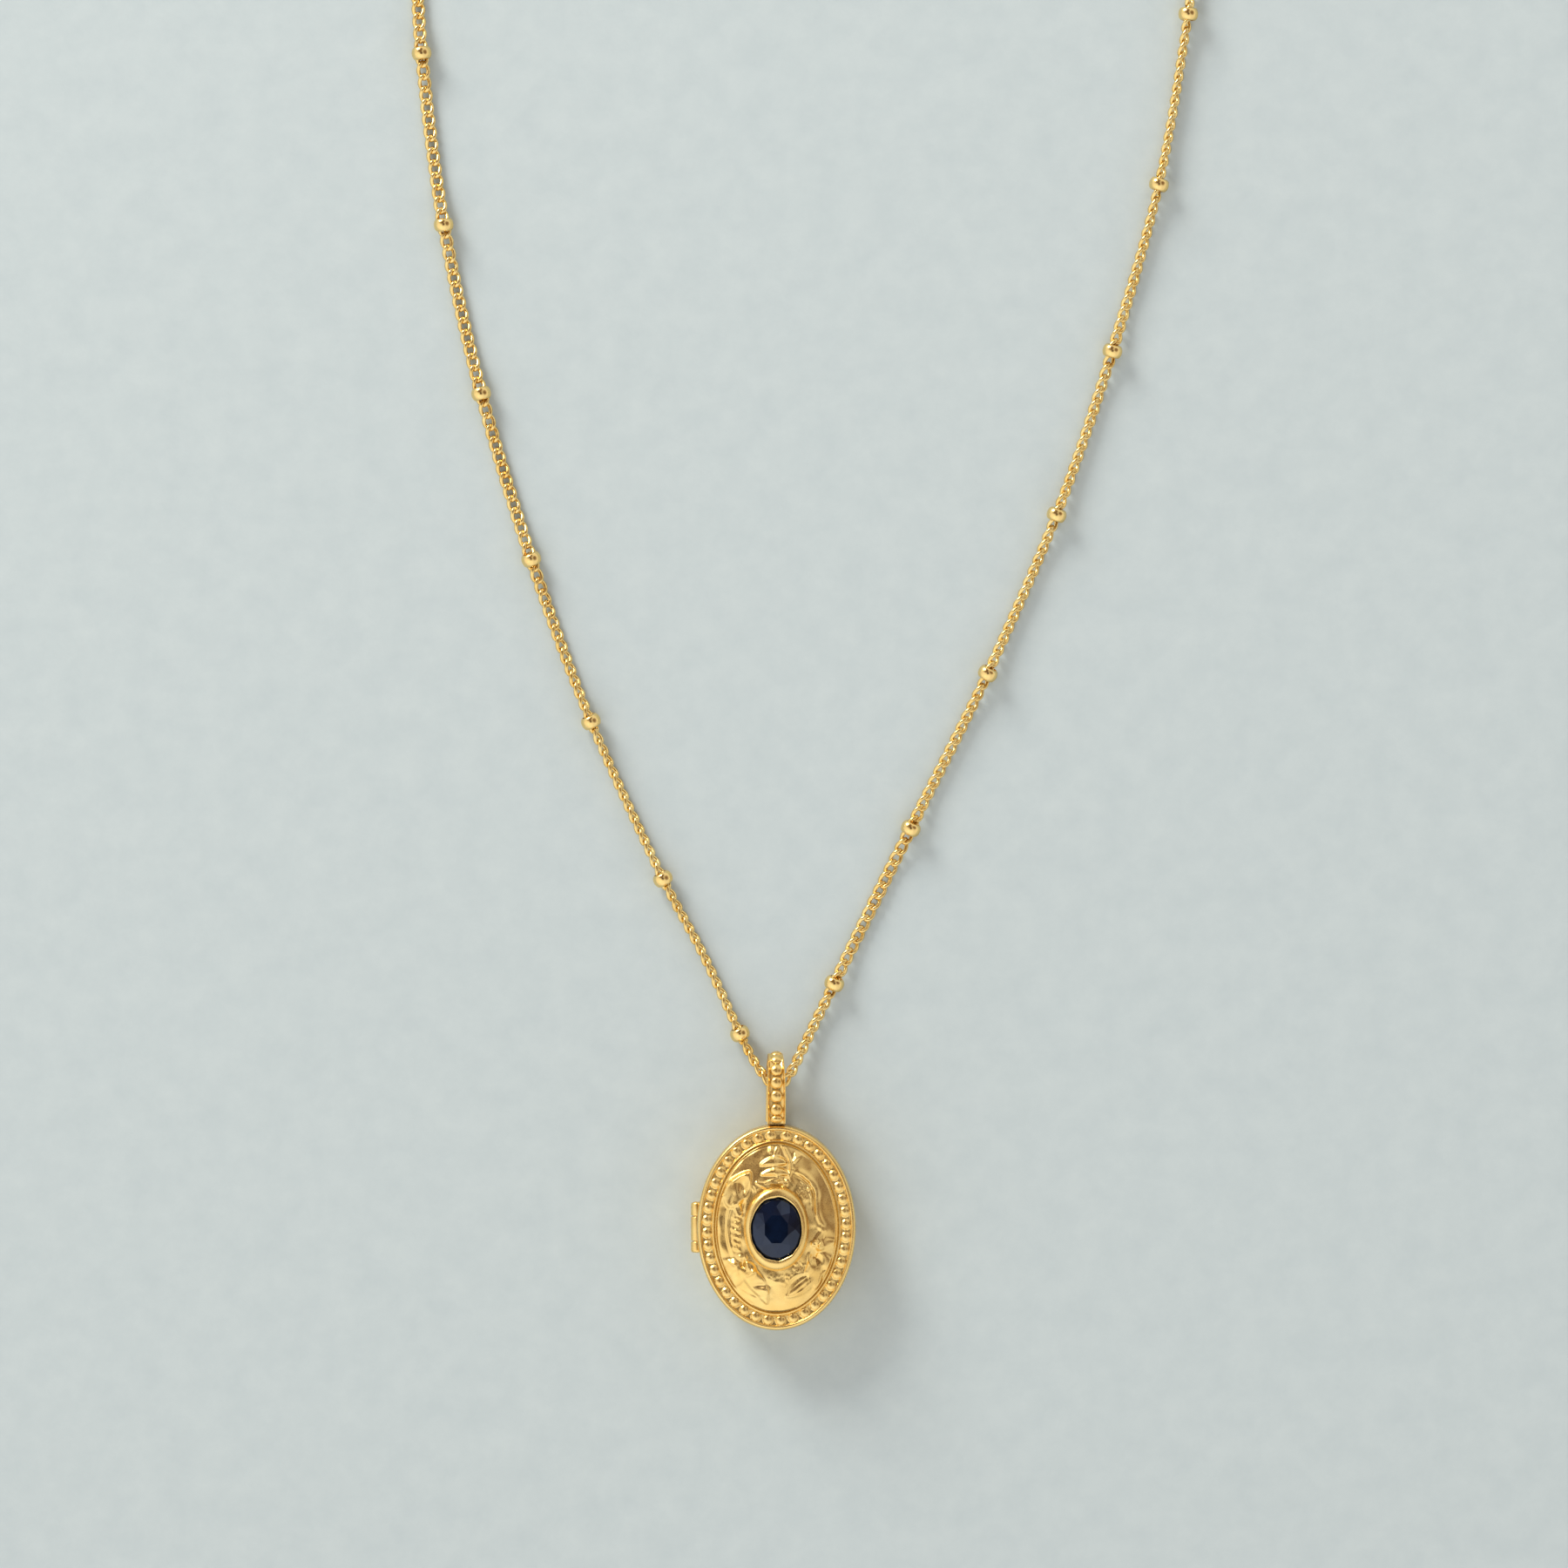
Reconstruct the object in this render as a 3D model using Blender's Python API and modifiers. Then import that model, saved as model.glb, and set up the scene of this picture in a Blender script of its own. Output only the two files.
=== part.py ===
"""Oval hinged locket with a beaded bail, on a fine curb chain with rondelle beads and a bolt-ring clasp.

The necklace lies on its back on the plane z = 0: +X is to the right, +Y runs from the locket
towards the clasp and +Z is the way that the locket's front faces. The origin is the middle of the
locket's flat back. Everything is in metres.
"""

import math

import bmesh
import bpy
from mathutils import Matrix, Vector

MM = 0.001

# The locket's outline and its two shells
LOCKET_WIDTH = 14.6 * MM
LOCKET_HEIGHT = 18.86 * MM
WALL = 0.62 * MM
BACK_TOP = 2.40 * MM
FRONT_FOOT = 2.50 * MM
RIM_TOP = 4.60 * MM
DOME_TOP = 5.42 * MM
OVAL_SEGMENTS = 40

# Gaps: between pieces that are soldered or pressed together, and between pieces that turn
SOLDER_GAP = 0.05 * MM
RUNNING_GAP = 0.06 * MM

# How far a cutter runs past the piece that it cuts
CUTTER_PAST = 1.0 * MM

# The hinge on the locket's left side, parallel to Y
HINGE_X = -7.30 * MM
HINGE_Z = 2.45 * MM
KNUCKLE_RADIUS = 0.59 * MM
KNUCKLE_BORE = 0.28 * MM
HINGE_PIN_RADIUS = 0.22 * MM
KNUCKLES = {
    "hinge_knuckle_lower": (-2.39 * MM, -1.36 * MM),
    "hinge_knuckle_middle": (-1.30 * MM, 0.96 * MM),
    "hinge_knuckle_upper": (1.02 * MM, 2.29 * MM),
}

# What holds a picture in each half: a clear window, and an oval frame with its inset and heights
WINDOW_INSET = 1.12 * MM
WINDOW_THICKNESS = 0.28 * MM
PHOTO_FRAME_WIDTH = 0.75 * MM
PHOTO_FRAME_THICKNESS = 0.34 * MM
PHOTO_HALVES = (
    ("back", 1.36 * MM, 1.72 * MM, 1.00 * MM),
    ("front", 3.52 * MM, 3.10 * MM, 0.70 * MM),
)

# The stone and its collar
BEZEL_HALF_WIDTH = 2.90 * MM
BEZEL_HALF_HEIGHT = 3.80 * MM
BEZEL_TOP = 6.62 * MM
STONE_SEAT_GAP = 0.06 * MM
STONE_HALF_WIDTH = 2.50 * MM
STONE_HALF_HEIGHT = 3.00 * MM
STONE_GIRDLE_Z = 6.16 * MM
STONE_TABLE_Z = 6.84 * MM
STONE_CULET_Z = 4.60 * MM

# The bail: a strap bent into a loop that stands across the locket's top edge
BAIL_FOOT_Y = 9.62 * MM
BAIL_TOP_Y = 16.0 * MM
BAIL_BACK_Z = 0.35 * MM
BAIL_FRONT_Z = 4.95 * MM
BAIL_STRAP = 0.50 * MM
BAIL_FOOT_THICKNESS = 0.70 * MM
BAIL_WIDTH = 1.60 * MM
LUG_HALF_WIDTH = 0.65 * MM
LUG_BACK_Z = 0.75 * MM
LUG_FRONT_Z = 2.15 * MM
LUG_DEPTH_IN_FOOT = 0.35 * MM

# The chain: a tube of the links' outer size, and the rondelles threaded on it
CHAIN_DIAMETER = 1.10 * MM
CHAIN_POINTS = 80
BEAD_RADIUS = 0.92 * MM
BEAD_LENGTH = 1.19 * MM
BEAD_BORE = 0.63 * MM
BEAD_LIP = 0.12 * MM
BEAD_SPACING = 16.0 * MM
BEADS_PER_SIDE = 12
FIRST_BEAD_LEFT = 5.5 * MM
FIRST_BEAD_RIGHT = 10.5 * MM

# The bolt ring clasp: its centre, the tube that it is bent from, and its angles in degrees
CLASP_X = 3.90 * MM
CLASP_Y = 126.0 * MM
CLASP_Z = 1.36 * MM
CLASP_RING_RADIUS = 2.30 * MM
CLASP_TUBE_RADIUS = 0.70 * MM
CLASP_BORE_RADIUS = 0.50 * MM
BOLT_RADIUS = 0.43 * MM
MOUTH_START = 35.0
MOUTH_END = 88.0
BOLT_NOSE = 22.0
BOLT_TAIL = 165.0
SPRING_END = 262.0
BORE_PAST_BOLT = 2.0
BORE_PAST_MOUTH = 8.0
THUMB_PIN_ANGLE = 104.0
THUMB_PIN_RADIUS = 0.22 * MM
THUMB_PIN_REACH = 0.60 * MM
THUMB_SLOT_RADIUS = 0.36 * MM
THUMB_SLOT_PAST = 7.0
BOLT_TRAVEL = 56.0
SPRING_COILS = 7
SPRING_RADIUS = 0.34 * MM
SPRING_WIRE = 0.07 * MM
SPRING_END_GAP = 3.0

# The clasp's eye, the jump ring on it, and the ring that it closes on: places left or right of
# the clasp's centre, ring radii to the middle of the wire, wire radii and leans in degrees
EYE_CENTRE = 4.15 * MM
EYE_RADIUS = 0.85 * MM
EYE_WIRE = 0.25 * MM
LEFT_RING_CENTRE = 5.50 * MM
LEFT_RING_RADIUS = 1.20 * MM
LEFT_RING_WIRE = 0.22 * MM
LEFT_RING_LEAN = 65.0
RIGHT_RING_CENTRE = CLASP_RING_RADIUS + 0.40 * MM
RIGHT_RING_RADIUS = 1.50 * MM
RIGHT_RING_WIRE = 0.25 * MM
RIGHT_RING_LEAN = 45.0

# The chain's route, each side from inside the bail to the clasp. Above y = 113 mm each side
# folds back in one lobe, so that the ends meet between the lobes.
LEFT_ROUTE = [
    (-0.45, 13.20, 1.50), (-1.20, 13.95, 1.42), (-2.10, 15.30, 1.20), (-3.35, 17.70, 0.93),
    (-6.80, 25.10, 0.93), (-10.80, 32.70, 0.93), (-17.40, 47.20, 0.93), (-22.70, 61.70, 0.93),
    (-27.40, 77.30, 0.93), (-30.80, 92.70, 0.93), (-32.80, 108.20, 0.93), (-33.40, 121.00, 0.93),
    (-33.20, 135.00, 0.93), (-31.20, 148.90, 0.93), (-25.40, 157.40, 0.93),
    (-17.60, 157.00, 0.93), (-13.00, 149.20, 0.93), (-11.30, 138.50, 0.93),
    (-9.20, 130.00, 0.93), (-5.80, 126.60, 1.00), (-3.30, 126.00, 1.25),
]
RIGHT_ROUTE = [
    (0.45, 13.20, 1.50), (1.30, 14.10, 1.42), (2.40, 16.30, 1.15), (5.30, 22.30, 0.93),
    (12.50, 36.90, 0.93), (19.60, 51.20, 0.93), (26.20, 66.50, 0.93), (31.20, 81.30, 0.93),
    (35.40, 96.40, 0.93), (38.00, 111.50, 0.93), (39.40, 123.50, 0.93), (39.60, 135.50, 0.93),
    (37.40, 148.40, 0.93), (31.60, 156.30, 0.93), (24.20, 156.10, 0.93), (19.80, 148.80, 0.93),
    (18.00, 138.50, 0.93), (15.60, 130.00, 0.93), (11.60, 126.60, 1.00), (8.65, 126.00, 1.25),
]


# ---------------------------------------------------------------- scene, materials, helpers
def clear_scene():
    for obj in list(bpy.data.objects):
        bpy.data.objects.remove(obj)


def new_collection(name):
    made = bpy.data.collections.new(name)
    bpy.context.scene.collection.children.link(made)
    return made


def new_material(name, color, metallic, roughness, alpha=1.0):
    made = bpy.data.materials.new(name)
    made.use_nodes = True
    shader = made.node_tree.nodes["Principled BSDF"]
    shader.inputs["Base Color"].default_value = (*color, 1.0)
    shader.inputs["Metallic"].default_value = metallic
    shader.inputs["Roughness"].default_value = roughness
    shader.inputs["Alpha"].default_value = alpha
    return made


def satin_gold(name):
    return new_material(name, (0.85, 0.56, 0.20), metallic=1.0, roughness=0.28)


def add(name, data, material, collection):
    """A new object of this mesh or curve, with its material, in that collection."""
    obj = bpy.data.objects.new(name, data)
    data.materials.clear()
    if material is not None:
        data.materials.append(material)
    collection.objects.link(obj)
    return obj


def smooth(obj, angle=35.0):
    obj.data.shade_smooth()
    obj.data.set_sharp_from_angle(angle=math.radians(angle))
    return obj


def mesh_of(name, bm):
    """Turns a bmesh into a mesh with its faces pointing out, and frees it."""
    bmesh.ops.recalc_face_normals(bm, faces=bm.faces)
    mesh = bpy.data.meshes.new(name)
    bm.to_mesh(mesh)
    bm.free()
    return mesh


def inset(depth, z):
    """The section of the locket's outline that lies this far inside it, at this height."""
    return (LOCKET_WIDTH / 2 - depth, LOCKET_HEIGHT / 2 - depth, z)


def oval_loft(name, sections, ring, material, collection, segments=OVAL_SEGMENTS):
    """Lofts oval sections (half width, half height, z). An even wall needs ovals that aren't
    scaled copies of each other, which is why this is a loft and not a turned shape. A ring
    closes on itself, and any other shape is capped at its first and last section."""
    bm = bmesh.new()
    loops = []
    for half_width, half_height, z in sections:
        loop = []
        for i in range(segments):
            turn = 2 * math.pi * i / segments
            corner = (half_width * math.cos(turn), half_height * math.sin(turn), z)
            loop.append(bm.verts.new(corner))
        loops.append(loop)
    pairs = list(zip(loops, loops[1:]))
    if ring:
        pairs.append((loops[-1], loops[0]))
    else:
        bm.faces.new(loops[0])
        bm.faces.new(loops[-1])
    for low, high in pairs:
        for i in range(segments):
            k = (i + 1) % segments
            bm.faces.new((low[i], low[k], high[k], high[i]))
    return smooth(add(name, mesh_of(name, bm), material, collection))


def cylinder(name, radius, start, end, material, collection, sides=20):
    """A round bar from start to end."""
    start = Vector(start)
    end = Vector(end)
    axis = end - start
    bm = bmesh.new()
    bmesh.ops.create_cone(
        bm, cap_ends=True, segments=sides, radius1=radius, radius2=radius, depth=axis.length
    )
    obj = add(name, mesh_of(name, bm), material, collection)
    obj.location = (start + end) / 2
    obj.rotation_mode = "QUATERNION"
    obj.rotation_quaternion = axis.to_track_quat("Z", "Y")
    return smooth(obj)


def block(name, low, high, material, collection):
    """A box between two corners."""
    low = Vector(low)
    high = Vector(high)
    size = high - low
    bm = bmesh.new()
    bmesh.ops.create_cube(bm, size=1.0, matrix=Matrix.Diagonal((*size, 1.0)))
    obj = add(name, mesh_of(name, bm), material, collection)
    obj.location = (low + high) / 2
    return obj


def tube(name, points, radius, material, collection, cyclic=False):
    """A round wire along points: a curve with a bevel depth and filled caps."""
    curve = bpy.data.curves.new(name, "CURVE")
    curve.dimensions = "3D"
    curve.bevel_depth = radius
    curve.bevel_resolution = 2
    curve.use_fill_caps = True
    spline = curve.splines.new("POLY")
    spline.points.add(len(points) - 1)
    for spot, point in zip(spline.points, points):
        spot.co = (*point, 1.0)
    spline.use_cyclic_u = cyclic
    return add(name, curve, material, collection)


def as_mesh(obj):
    """The same object as a mesh with welded caps, which a Boolean can cut."""
    bpy.context.view_layer.update()
    evaluated = obj.evaluated_get(bpy.context.evaluated_depsgraph_get())
    mesh = bpy.data.meshes.new_from_object(evaluated)
    bm = bmesh.new()
    bm.from_mesh(mesh)
    bmesh.ops.remove_doubles(bm, verts=bm.verts, dist=0.001 * MM)
    bm.to_mesh(mesh)
    bm.free()
    name = obj.name
    place = obj.matrix_world.copy()
    homes = list(obj.users_collection)
    bpy.data.objects.remove(obj)
    made = bpy.data.objects.new(name, mesh)
    made.matrix_world = place
    for home in homes:
        home.objects.link(made)
    return made


def as_cutter(obj):
    obj.hide_render = True
    obj.display_type = "WIRE"
    return obj


def cut(obj, cutter):
    """Takes the cutter's shape out of the object."""
    boolean = obj.modifiers.new("cut_" + cutter.name, "BOOLEAN")
    boolean.operation = "DIFFERENCE"
    boolean.object = as_cutter(cutter)
    return obj


def arc(radius, start, end, step=12.0):
    """Points along an arc about the clasp's centre, in its own plane. Angles are in degrees."""
    count = max(2, math.ceil(abs(end - start) / step))
    turns = [math.radians(start + (end - start) * i / count) for i in range(count + 1)]
    return [
        (CLASP_X + radius * math.cos(t), CLASP_Y + radius * math.sin(t), CLASP_Z) for t in turns
    ]


# ---------------------------------------------------------------- the chain's route
def smooth_route(route, count):
    """Evenly spaced points on the smooth curve through the route's points, and its length."""
    corners = [Vector(p) * MM for p in route]
    corners = [2 * corners[0] - corners[1], *corners, 2 * corners[-1] - corners[-2]]
    fine = []
    for a, b, c, d in zip(corners, corners[1:], corners[2:], corners[3:]):
        for step in range(24):
            t = step / 24
            curved = 2 * b + (c - a) * t + (2 * a - 5 * b + 4 * c - d) * t**2
            fine.append((curved + (3 * b - 3 * c + d - a) * t**3) / 2)
    fine.append(corners[-2])
    run = [0.0]
    for p, q in zip(fine, fine[1:]):
        run.append(run[-1] + (q - p).length)
    points = [point_at(fine, run, run[-1] * i / (count - 1)) for i in range(count)]
    return points, run[-1]


def point_at(fine, run, distance):
    """The point this far along a fine polyline whose running lengths are given."""
    k = 0
    while k < len(run) - 2 and run[k + 1] < distance:
        k += 1
    share = (distance - run[k]) / (run[k + 1] - run[k])
    return fine[k].lerp(fine[k + 1], min(1.0, share))


def make_chain_side(side, route, first_bead, gold, collection):
    """One side of the chain: its tube, and the rondelles spaced evenly along it."""
    points, length = smooth_route(route, CHAIN_POINTS)
    tube("chain_" + side, points, CHAIN_DIAMETER / 2, gold, collection)
    step = length / (CHAIN_POINTS - 1)
    run = [step * i for i in range(CHAIN_POINTS)]
    for i in range(BEADS_PER_SIDE):
        distance = first_bead + i * BEAD_SPACING
        spot = point_at(points, run, distance)
        ahead = point_at(points, run, distance + BEAD_LENGTH / 2)
        behind = point_at(points, run, distance - BEAD_LENGTH / 2)
        make_rondelle(f"satellite_{side}_{i + 1:02d}", spot, ahead - behind, gold, collection)


def make_rondelle(name, spot, direction, gold, collection):
    """A rounded ring bead: a profile turned about the chain's line."""
    half = BEAD_LENGTH / 2
    lip = BEAD_BORE + BEAD_LIP
    side = [(BEAD_BORE, half), (lip, half)]
    steps = 4
    for i in range(1, steps):
        turn = math.radians(90 - 180 * i / steps)
        side.append((lip + (BEAD_RADIUS - lip) * math.cos(turn), half * math.sin(turn)))
    side += [(lip, -half), (BEAD_BORE, -half)]
    bm = bmesh.new()
    corners = [bm.verts.new((x, 0.0, z)) for x, z in side]
    for a, b in zip(corners, corners[1:] + corners[:1]):
        bm.edges.new((a, b))
    mesh = bpy.data.meshes.new(name)
    bm.to_mesh(mesh)
    bm.free()
    obj = add(name, mesh, gold, collection)
    screw = obj.modifiers.new("turned", "SCREW")
    screw.steps = 14
    screw.render_steps = 14
    screw.use_merge_vertices = True
    screw.merge_threshold = 0.001 * MM
    obj.location = spot
    obj.rotation_mode = "QUATERNION"
    obj.rotation_quaternion = direction.to_track_quat("Z", "Y")
    return obj


# ---------------------------------------------------------------- the locket
def make_back_shell(gold, collection, cutters):
    """The shallow dish that lies on its flat back, hollow from the top."""
    sections = [
        inset(0.90 * MM, 0.0),
        inset(0.35 * MM, 0.22 * MM),
        inset(0.08 * MM, 0.70 * MM),
        inset(0.0, 1.30 * MM),
        inset(0.0, BACK_TOP),
        inset(WALL, BACK_TOP),
        inset(WALL, 0.95 * MM),
        inset(1.10 * MM, 0.60 * MM),
    ]
    shell = oval_loft("back_shell", sections, False, gold, collection)
    return cut(shell, hinge_notch("back_hinge_notch", cutters))


def hinge_notch(name, cutters):
    """The round channel in both shells that the hinge's knuckles sit in."""
    low = KNUCKLES["hinge_knuckle_lower"][0] - RUNNING_GAP
    high = KNUCKLES["hinge_knuckle_upper"][1] + RUNNING_GAP
    radius = KNUCKLE_RADIUS + RUNNING_GAP
    start = (HINGE_X, low, HINGE_Z)
    end = (HINGE_X, high, HINGE_Z)
    return cylinder(name, radius, start, end, None, cutters, sides=24)


def make_front_cover(gold, collection, cutters):
    """The domed lid: a rim with a channel for its beading, a low dome, and a hole under the
    stone."""
    hole = (2.00 * MM, 2.50 * MM)
    sections = [
        (*hole, DOME_TOP),
        (3.05 * MM, 3.95 * MM, DOME_TOP),
        (4.00 * MM, 5.50 * MM, 5.28 * MM),
        (5.10 * MM, 7.00 * MM, 4.98 * MM),
        inset(1.40 * MM, 4.66 * MM),
        inset(1.30 * MM, 4.46 * MM),
        inset(0.50 * MM, 4.46 * MM),
        inset(0.40 * MM, RIM_TOP),
        inset(0.25 * MM, RIM_TOP),
        inset(0.0, 4.35 * MM),
        inset(0.0, FRONT_FOOT),
        inset(WALL, FRONT_FOOT),
        inset(WALL, 3.95 * MM),
        inset(1.90 * MM, 4.15 * MM),
        (4.00 * MM, 5.40 * MM, 4.78 * MM),
        (*hole, 4.92 * MM),
    ]
    cover = oval_loft("front_cover", sections, True, gold, collection)
    return cut(cover, hinge_notch("front_hinge_notch", cutters))


def make_snap_rim(gold, collection):
    """The thin band inside the back shell that the lid snaps over."""
    outer = WALL + 0.09 * MM
    inner = outer + 0.20 * MM
    low = 1.30 * MM
    high = BACK_TOP + 0.45 * MM
    sections = [inset(outer, low), inset(outer, high), inset(inner, high), inset(inner, low)]
    return oval_loft("snap_rim", sections, True, gold, collection)


def make_photo_fittings(gold, clear, collection):
    """In each half, a clear window and the oval frame that holds it over a picture."""
    for half, low_window, low_frame, outer in PHOTO_HALVES:
        high_window = low_window + WINDOW_THICKNESS
        window = [inset(WINDOW_INSET, low_window), inset(WINDOW_INSET, high_window)]
        oval_loft("photo_window_" + half, window, False, clear, collection)
        inner = outer + PHOTO_FRAME_WIDTH
        high_frame = low_frame + PHOTO_FRAME_THICKNESS
        frame = [
            inset(outer, low_frame),
            inset(outer, high_frame),
            inset(inner, high_frame),
            inset(inner, low_frame),
        ]
        oval_loft("photo_frame_" + half, frame, True, gold, collection)


def make_hinge(gold, collection, cutters):
    """Three short barrels, the middle one on the lid, and the pin through them."""
    for name, (low, high) in KNUCKLES.items():
        start = (HINGE_X, low, HINGE_Z)
        end = (HINGE_X, high, HINGE_Z)
        barrel = cylinder(name, KNUCKLE_RADIUS, start, end, gold, collection)
        past = Vector((0, CUTTER_PAST, 0))
        bore = cylinder(
            name + "_bore", KNUCKLE_BORE, Vector(start) - past, Vector(end) + past, None, cutters,
            sides=16,
        )
        cut(barrel, bore)
    low = KNUCKLES["hinge_knuckle_lower"][0]
    high = KNUCKLES["hinge_knuckle_upper"][1]
    cylinder(
        "hinge_pin", HINGE_PIN_RADIUS, (HINGE_X, low, HINGE_Z), (HINGE_X, high, HINGE_Z), gold,
        collection, sides=16,
    )


def make_bezel(gold, collection):
    """The collar soldered to the dome, its upper edge pushed in over the stone."""
    foot = DOME_TOP + SOLDER_GAP
    seat_width = STONE_HALF_WIDTH + STONE_SEAT_GAP
    seat_height = STONE_HALF_HEIGHT + STONE_SEAT_GAP
    sections = [
        (BEZEL_HALF_WIDTH, BEZEL_HALF_HEIGHT, foot),
        (BEZEL_HALF_WIDTH, BEZEL_HALF_HEIGHT, 5.85 * MM),
        (2.78 * MM, 3.62 * MM, 6.30 * MM),
        (2.56 * MM, 3.24 * MM, BEZEL_TOP),
        (2.38 * MM, 2.88 * MM, BEZEL_TOP),
        (2.30 * MM, 2.80 * MM, 6.48 * MM),
        (seat_width, seat_height, 6.30 * MM),
        (seat_width, seat_height, 5.90 * MM),
        (2.15 * MM, 2.65 * MM, foot),
    ]
    return oval_loft("stone_bezel", sections, True, gold, collection)


def make_sapphire(blue, collection):
    """An oval cut stone: table, crown, girdle and pavilion."""
    sections = [
        (0.12 * MM, 0.15 * MM, STONE_CULET_Z),
        (1.35 * MM, 1.62 * MM, 5.34 * MM),
        (STONE_HALF_WIDTH, STONE_HALF_HEIGHT, STONE_GIRDLE_Z - 0.05 * MM),
        (STONE_HALF_WIDTH, STONE_HALF_HEIGHT, STONE_GIRDLE_Z + 0.05 * MM),
        (1.40 * MM, 1.70 * MM, STONE_TABLE_Z),
    ]
    stone = oval_loft("sapphire", sections, False, blue, collection, segments=16)
    stone.data.shade_flat()
    return stone


# ---------------------------------------------------------------- the bail
def loop_outline(foot_y, top_y, back_z, front_z):
    """The side view of the bail's loop: straight legs and a round head, as (y, z) points."""
    radius = (front_z - back_z) / 2
    middle = (front_z + back_z) / 2
    outline = [(foot_y, front_z), (foot_y, back_z)]
    for i in range(17):
        turn = math.radians(-90 + 180 * i / 16)
        outline.append((top_y - radius + radius * math.cos(turn), middle + radius * math.sin(turn)))
    return outline


def make_bail(gold, collection, cutters):
    """The strap's side view, drawn flat and given its width, and the recess for the lug."""
    curve = bpy.data.curves.new("bail", "CURVE")
    curve.dimensions = "2D"
    curve.fill_mode = "BOTH"
    curve.extrude = BAIL_WIDTH / 2
    outer = loop_outline(BAIL_FOOT_Y, BAIL_TOP_Y, BAIL_BACK_Z, BAIL_FRONT_Z)
    inner = loop_outline(
        BAIL_FOOT_Y + BAIL_FOOT_THICKNESS,
        BAIL_TOP_Y - BAIL_STRAP,
        BAIL_BACK_Z + BAIL_STRAP,
        BAIL_FRONT_Z - BAIL_STRAP,
    )
    for outline in (outer, inner):
        spline = curve.splines.new("POLY")
        spline.points.add(len(outline) - 1)
        for spot, (y, z) in zip(spline.points, outline):
            spot.co = (y, z, 0.0, 1.0)
        spline.use_cyclic_u = True
    flat = add("bail", curve, gold, collection)
    flat.matrix_world = Matrix(((0, 0, 1, 0), (1, 0, 0, 0), (0, 1, 0, 0), (0, 0, 0, 1)))
    bail = as_mesh(flat)
    gap = SOLDER_GAP
    low, high = lug_corners()
    recess = block(
        "lug_recess", low - Vector((gap, CUTTER_PAST, gap)), high + Vector((gap, gap, gap)), None,
        cutters,
    )
    return cut(bail, recess)


def lug_corners():
    low = Vector((-LUG_HALF_WIDTH, LOCKET_HEIGHT / 2 + SOLDER_GAP, LUG_BACK_Z))
    high = Vector((LUG_HALF_WIDTH, BAIL_FOOT_Y + LUG_DEPTH_IN_FOOT, LUG_FRONT_Z))
    return low, high


def make_bail_lug(gold, collection):
    """The small block that joins the bail's foot to the back shell's edge."""
    low, high = lug_corners()
    return block("bail_lug", low, high, gold, collection)


# ---------------------------------------------------------------- the clasp
def make_clasp_body(gold, collection, cutters):
    """A tube bent into an open ring, bored for the bolt on both sides of its mouth and slotted
    for the thumb pin."""
    ring = tube(
        "clasp_body", arc(CLASP_RING_RADIUS, MOUTH_END, MOUTH_START + 360), CLASP_TUBE_RADIUS,
        gold, collection,
    )
    body = as_mesh(ring)
    long_bore = arc(CLASP_RING_RADIUS, MOUTH_END - BORE_PAST_MOUTH, SPRING_END + 1)
    short_bore = arc(
        CLASP_RING_RADIUS, BOLT_NOSE - BORE_PAST_BOLT, MOUTH_START + BORE_PAST_MOUTH
    )
    for name, points in (("long_bore", long_bore), ("short_bore", short_bore)):
        cut(body, as_mesh(tube(name, points, CLASP_BORE_RADIUS, None, cutters)))
    slot_path = arc(
        CLASP_RING_RADIUS + CLASP_TUBE_RADIUS,
        THUMB_PIN_ANGLE - THUMB_SLOT_PAST,
        THUMB_PIN_ANGLE + BOLT_TRAVEL + THUMB_SLOT_PAST,
    )
    return cut(body, as_mesh(tube("thumb_slot", slot_path, THUMB_SLOT_RADIUS, None, cutters)))


def make_bolt(gold, steel, collection):
    """The bent bolt that closes the mouth, its thumb pin, and the spring behind it."""
    tube("clasp_bolt", arc(CLASP_RING_RADIUS, BOLT_NOSE, BOLT_TAIL), BOLT_RADIUS, gold, collection)
    turn = math.radians(THUMB_PIN_ANGLE)
    outward = Vector((math.cos(turn), math.sin(turn), 0.0))
    centre = Vector((CLASP_X, CLASP_Y, CLASP_Z))
    start = centre + outward * (CLASP_RING_RADIUS + BOLT_RADIUS + SOLDER_GAP)
    end = centre + outward * (CLASP_RING_RADIUS + CLASP_TUBE_RADIUS + THUMB_PIN_REACH)
    cylinder("clasp_thumb_pin", THUMB_PIN_RADIUS, start, end, gold, collection, sides=14)
    points_per_coil = 9
    last = SPRING_COILS * points_per_coil
    first_angle = BOLT_TAIL + SPRING_END_GAP
    last_angle = SPRING_END - SPRING_END_GAP
    points = []
    for i in range(last + 1):
        along = math.radians(first_angle + (last_angle - first_angle) * i / last)
        around = 2 * math.pi * i / points_per_coil
        reach = CLASP_RING_RADIUS + SPRING_RADIUS * math.cos(around)
        across = Vector((math.cos(along), math.sin(along), 0.0))
        points.append(centre + across * reach + Vector((0, 0, SPRING_RADIUS * math.sin(around))))
    tube("clasp_spring", points, SPRING_WIRE, steel, collection)


def ring_points(centre, radius, tilt, count=28):
    """A closed round ring whose plane holds the X direction and leans by tilt degrees."""
    lean = math.radians(tilt)
    across = Vector((0.0, math.cos(lean), math.sin(lean)))
    along = Vector((1.0, 0.0, 0.0))
    turns = [2 * math.pi * i / count for i in range(count)]
    return [centre + along * radius * math.cos(t) + across * radius * math.sin(t) for t in turns]


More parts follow.
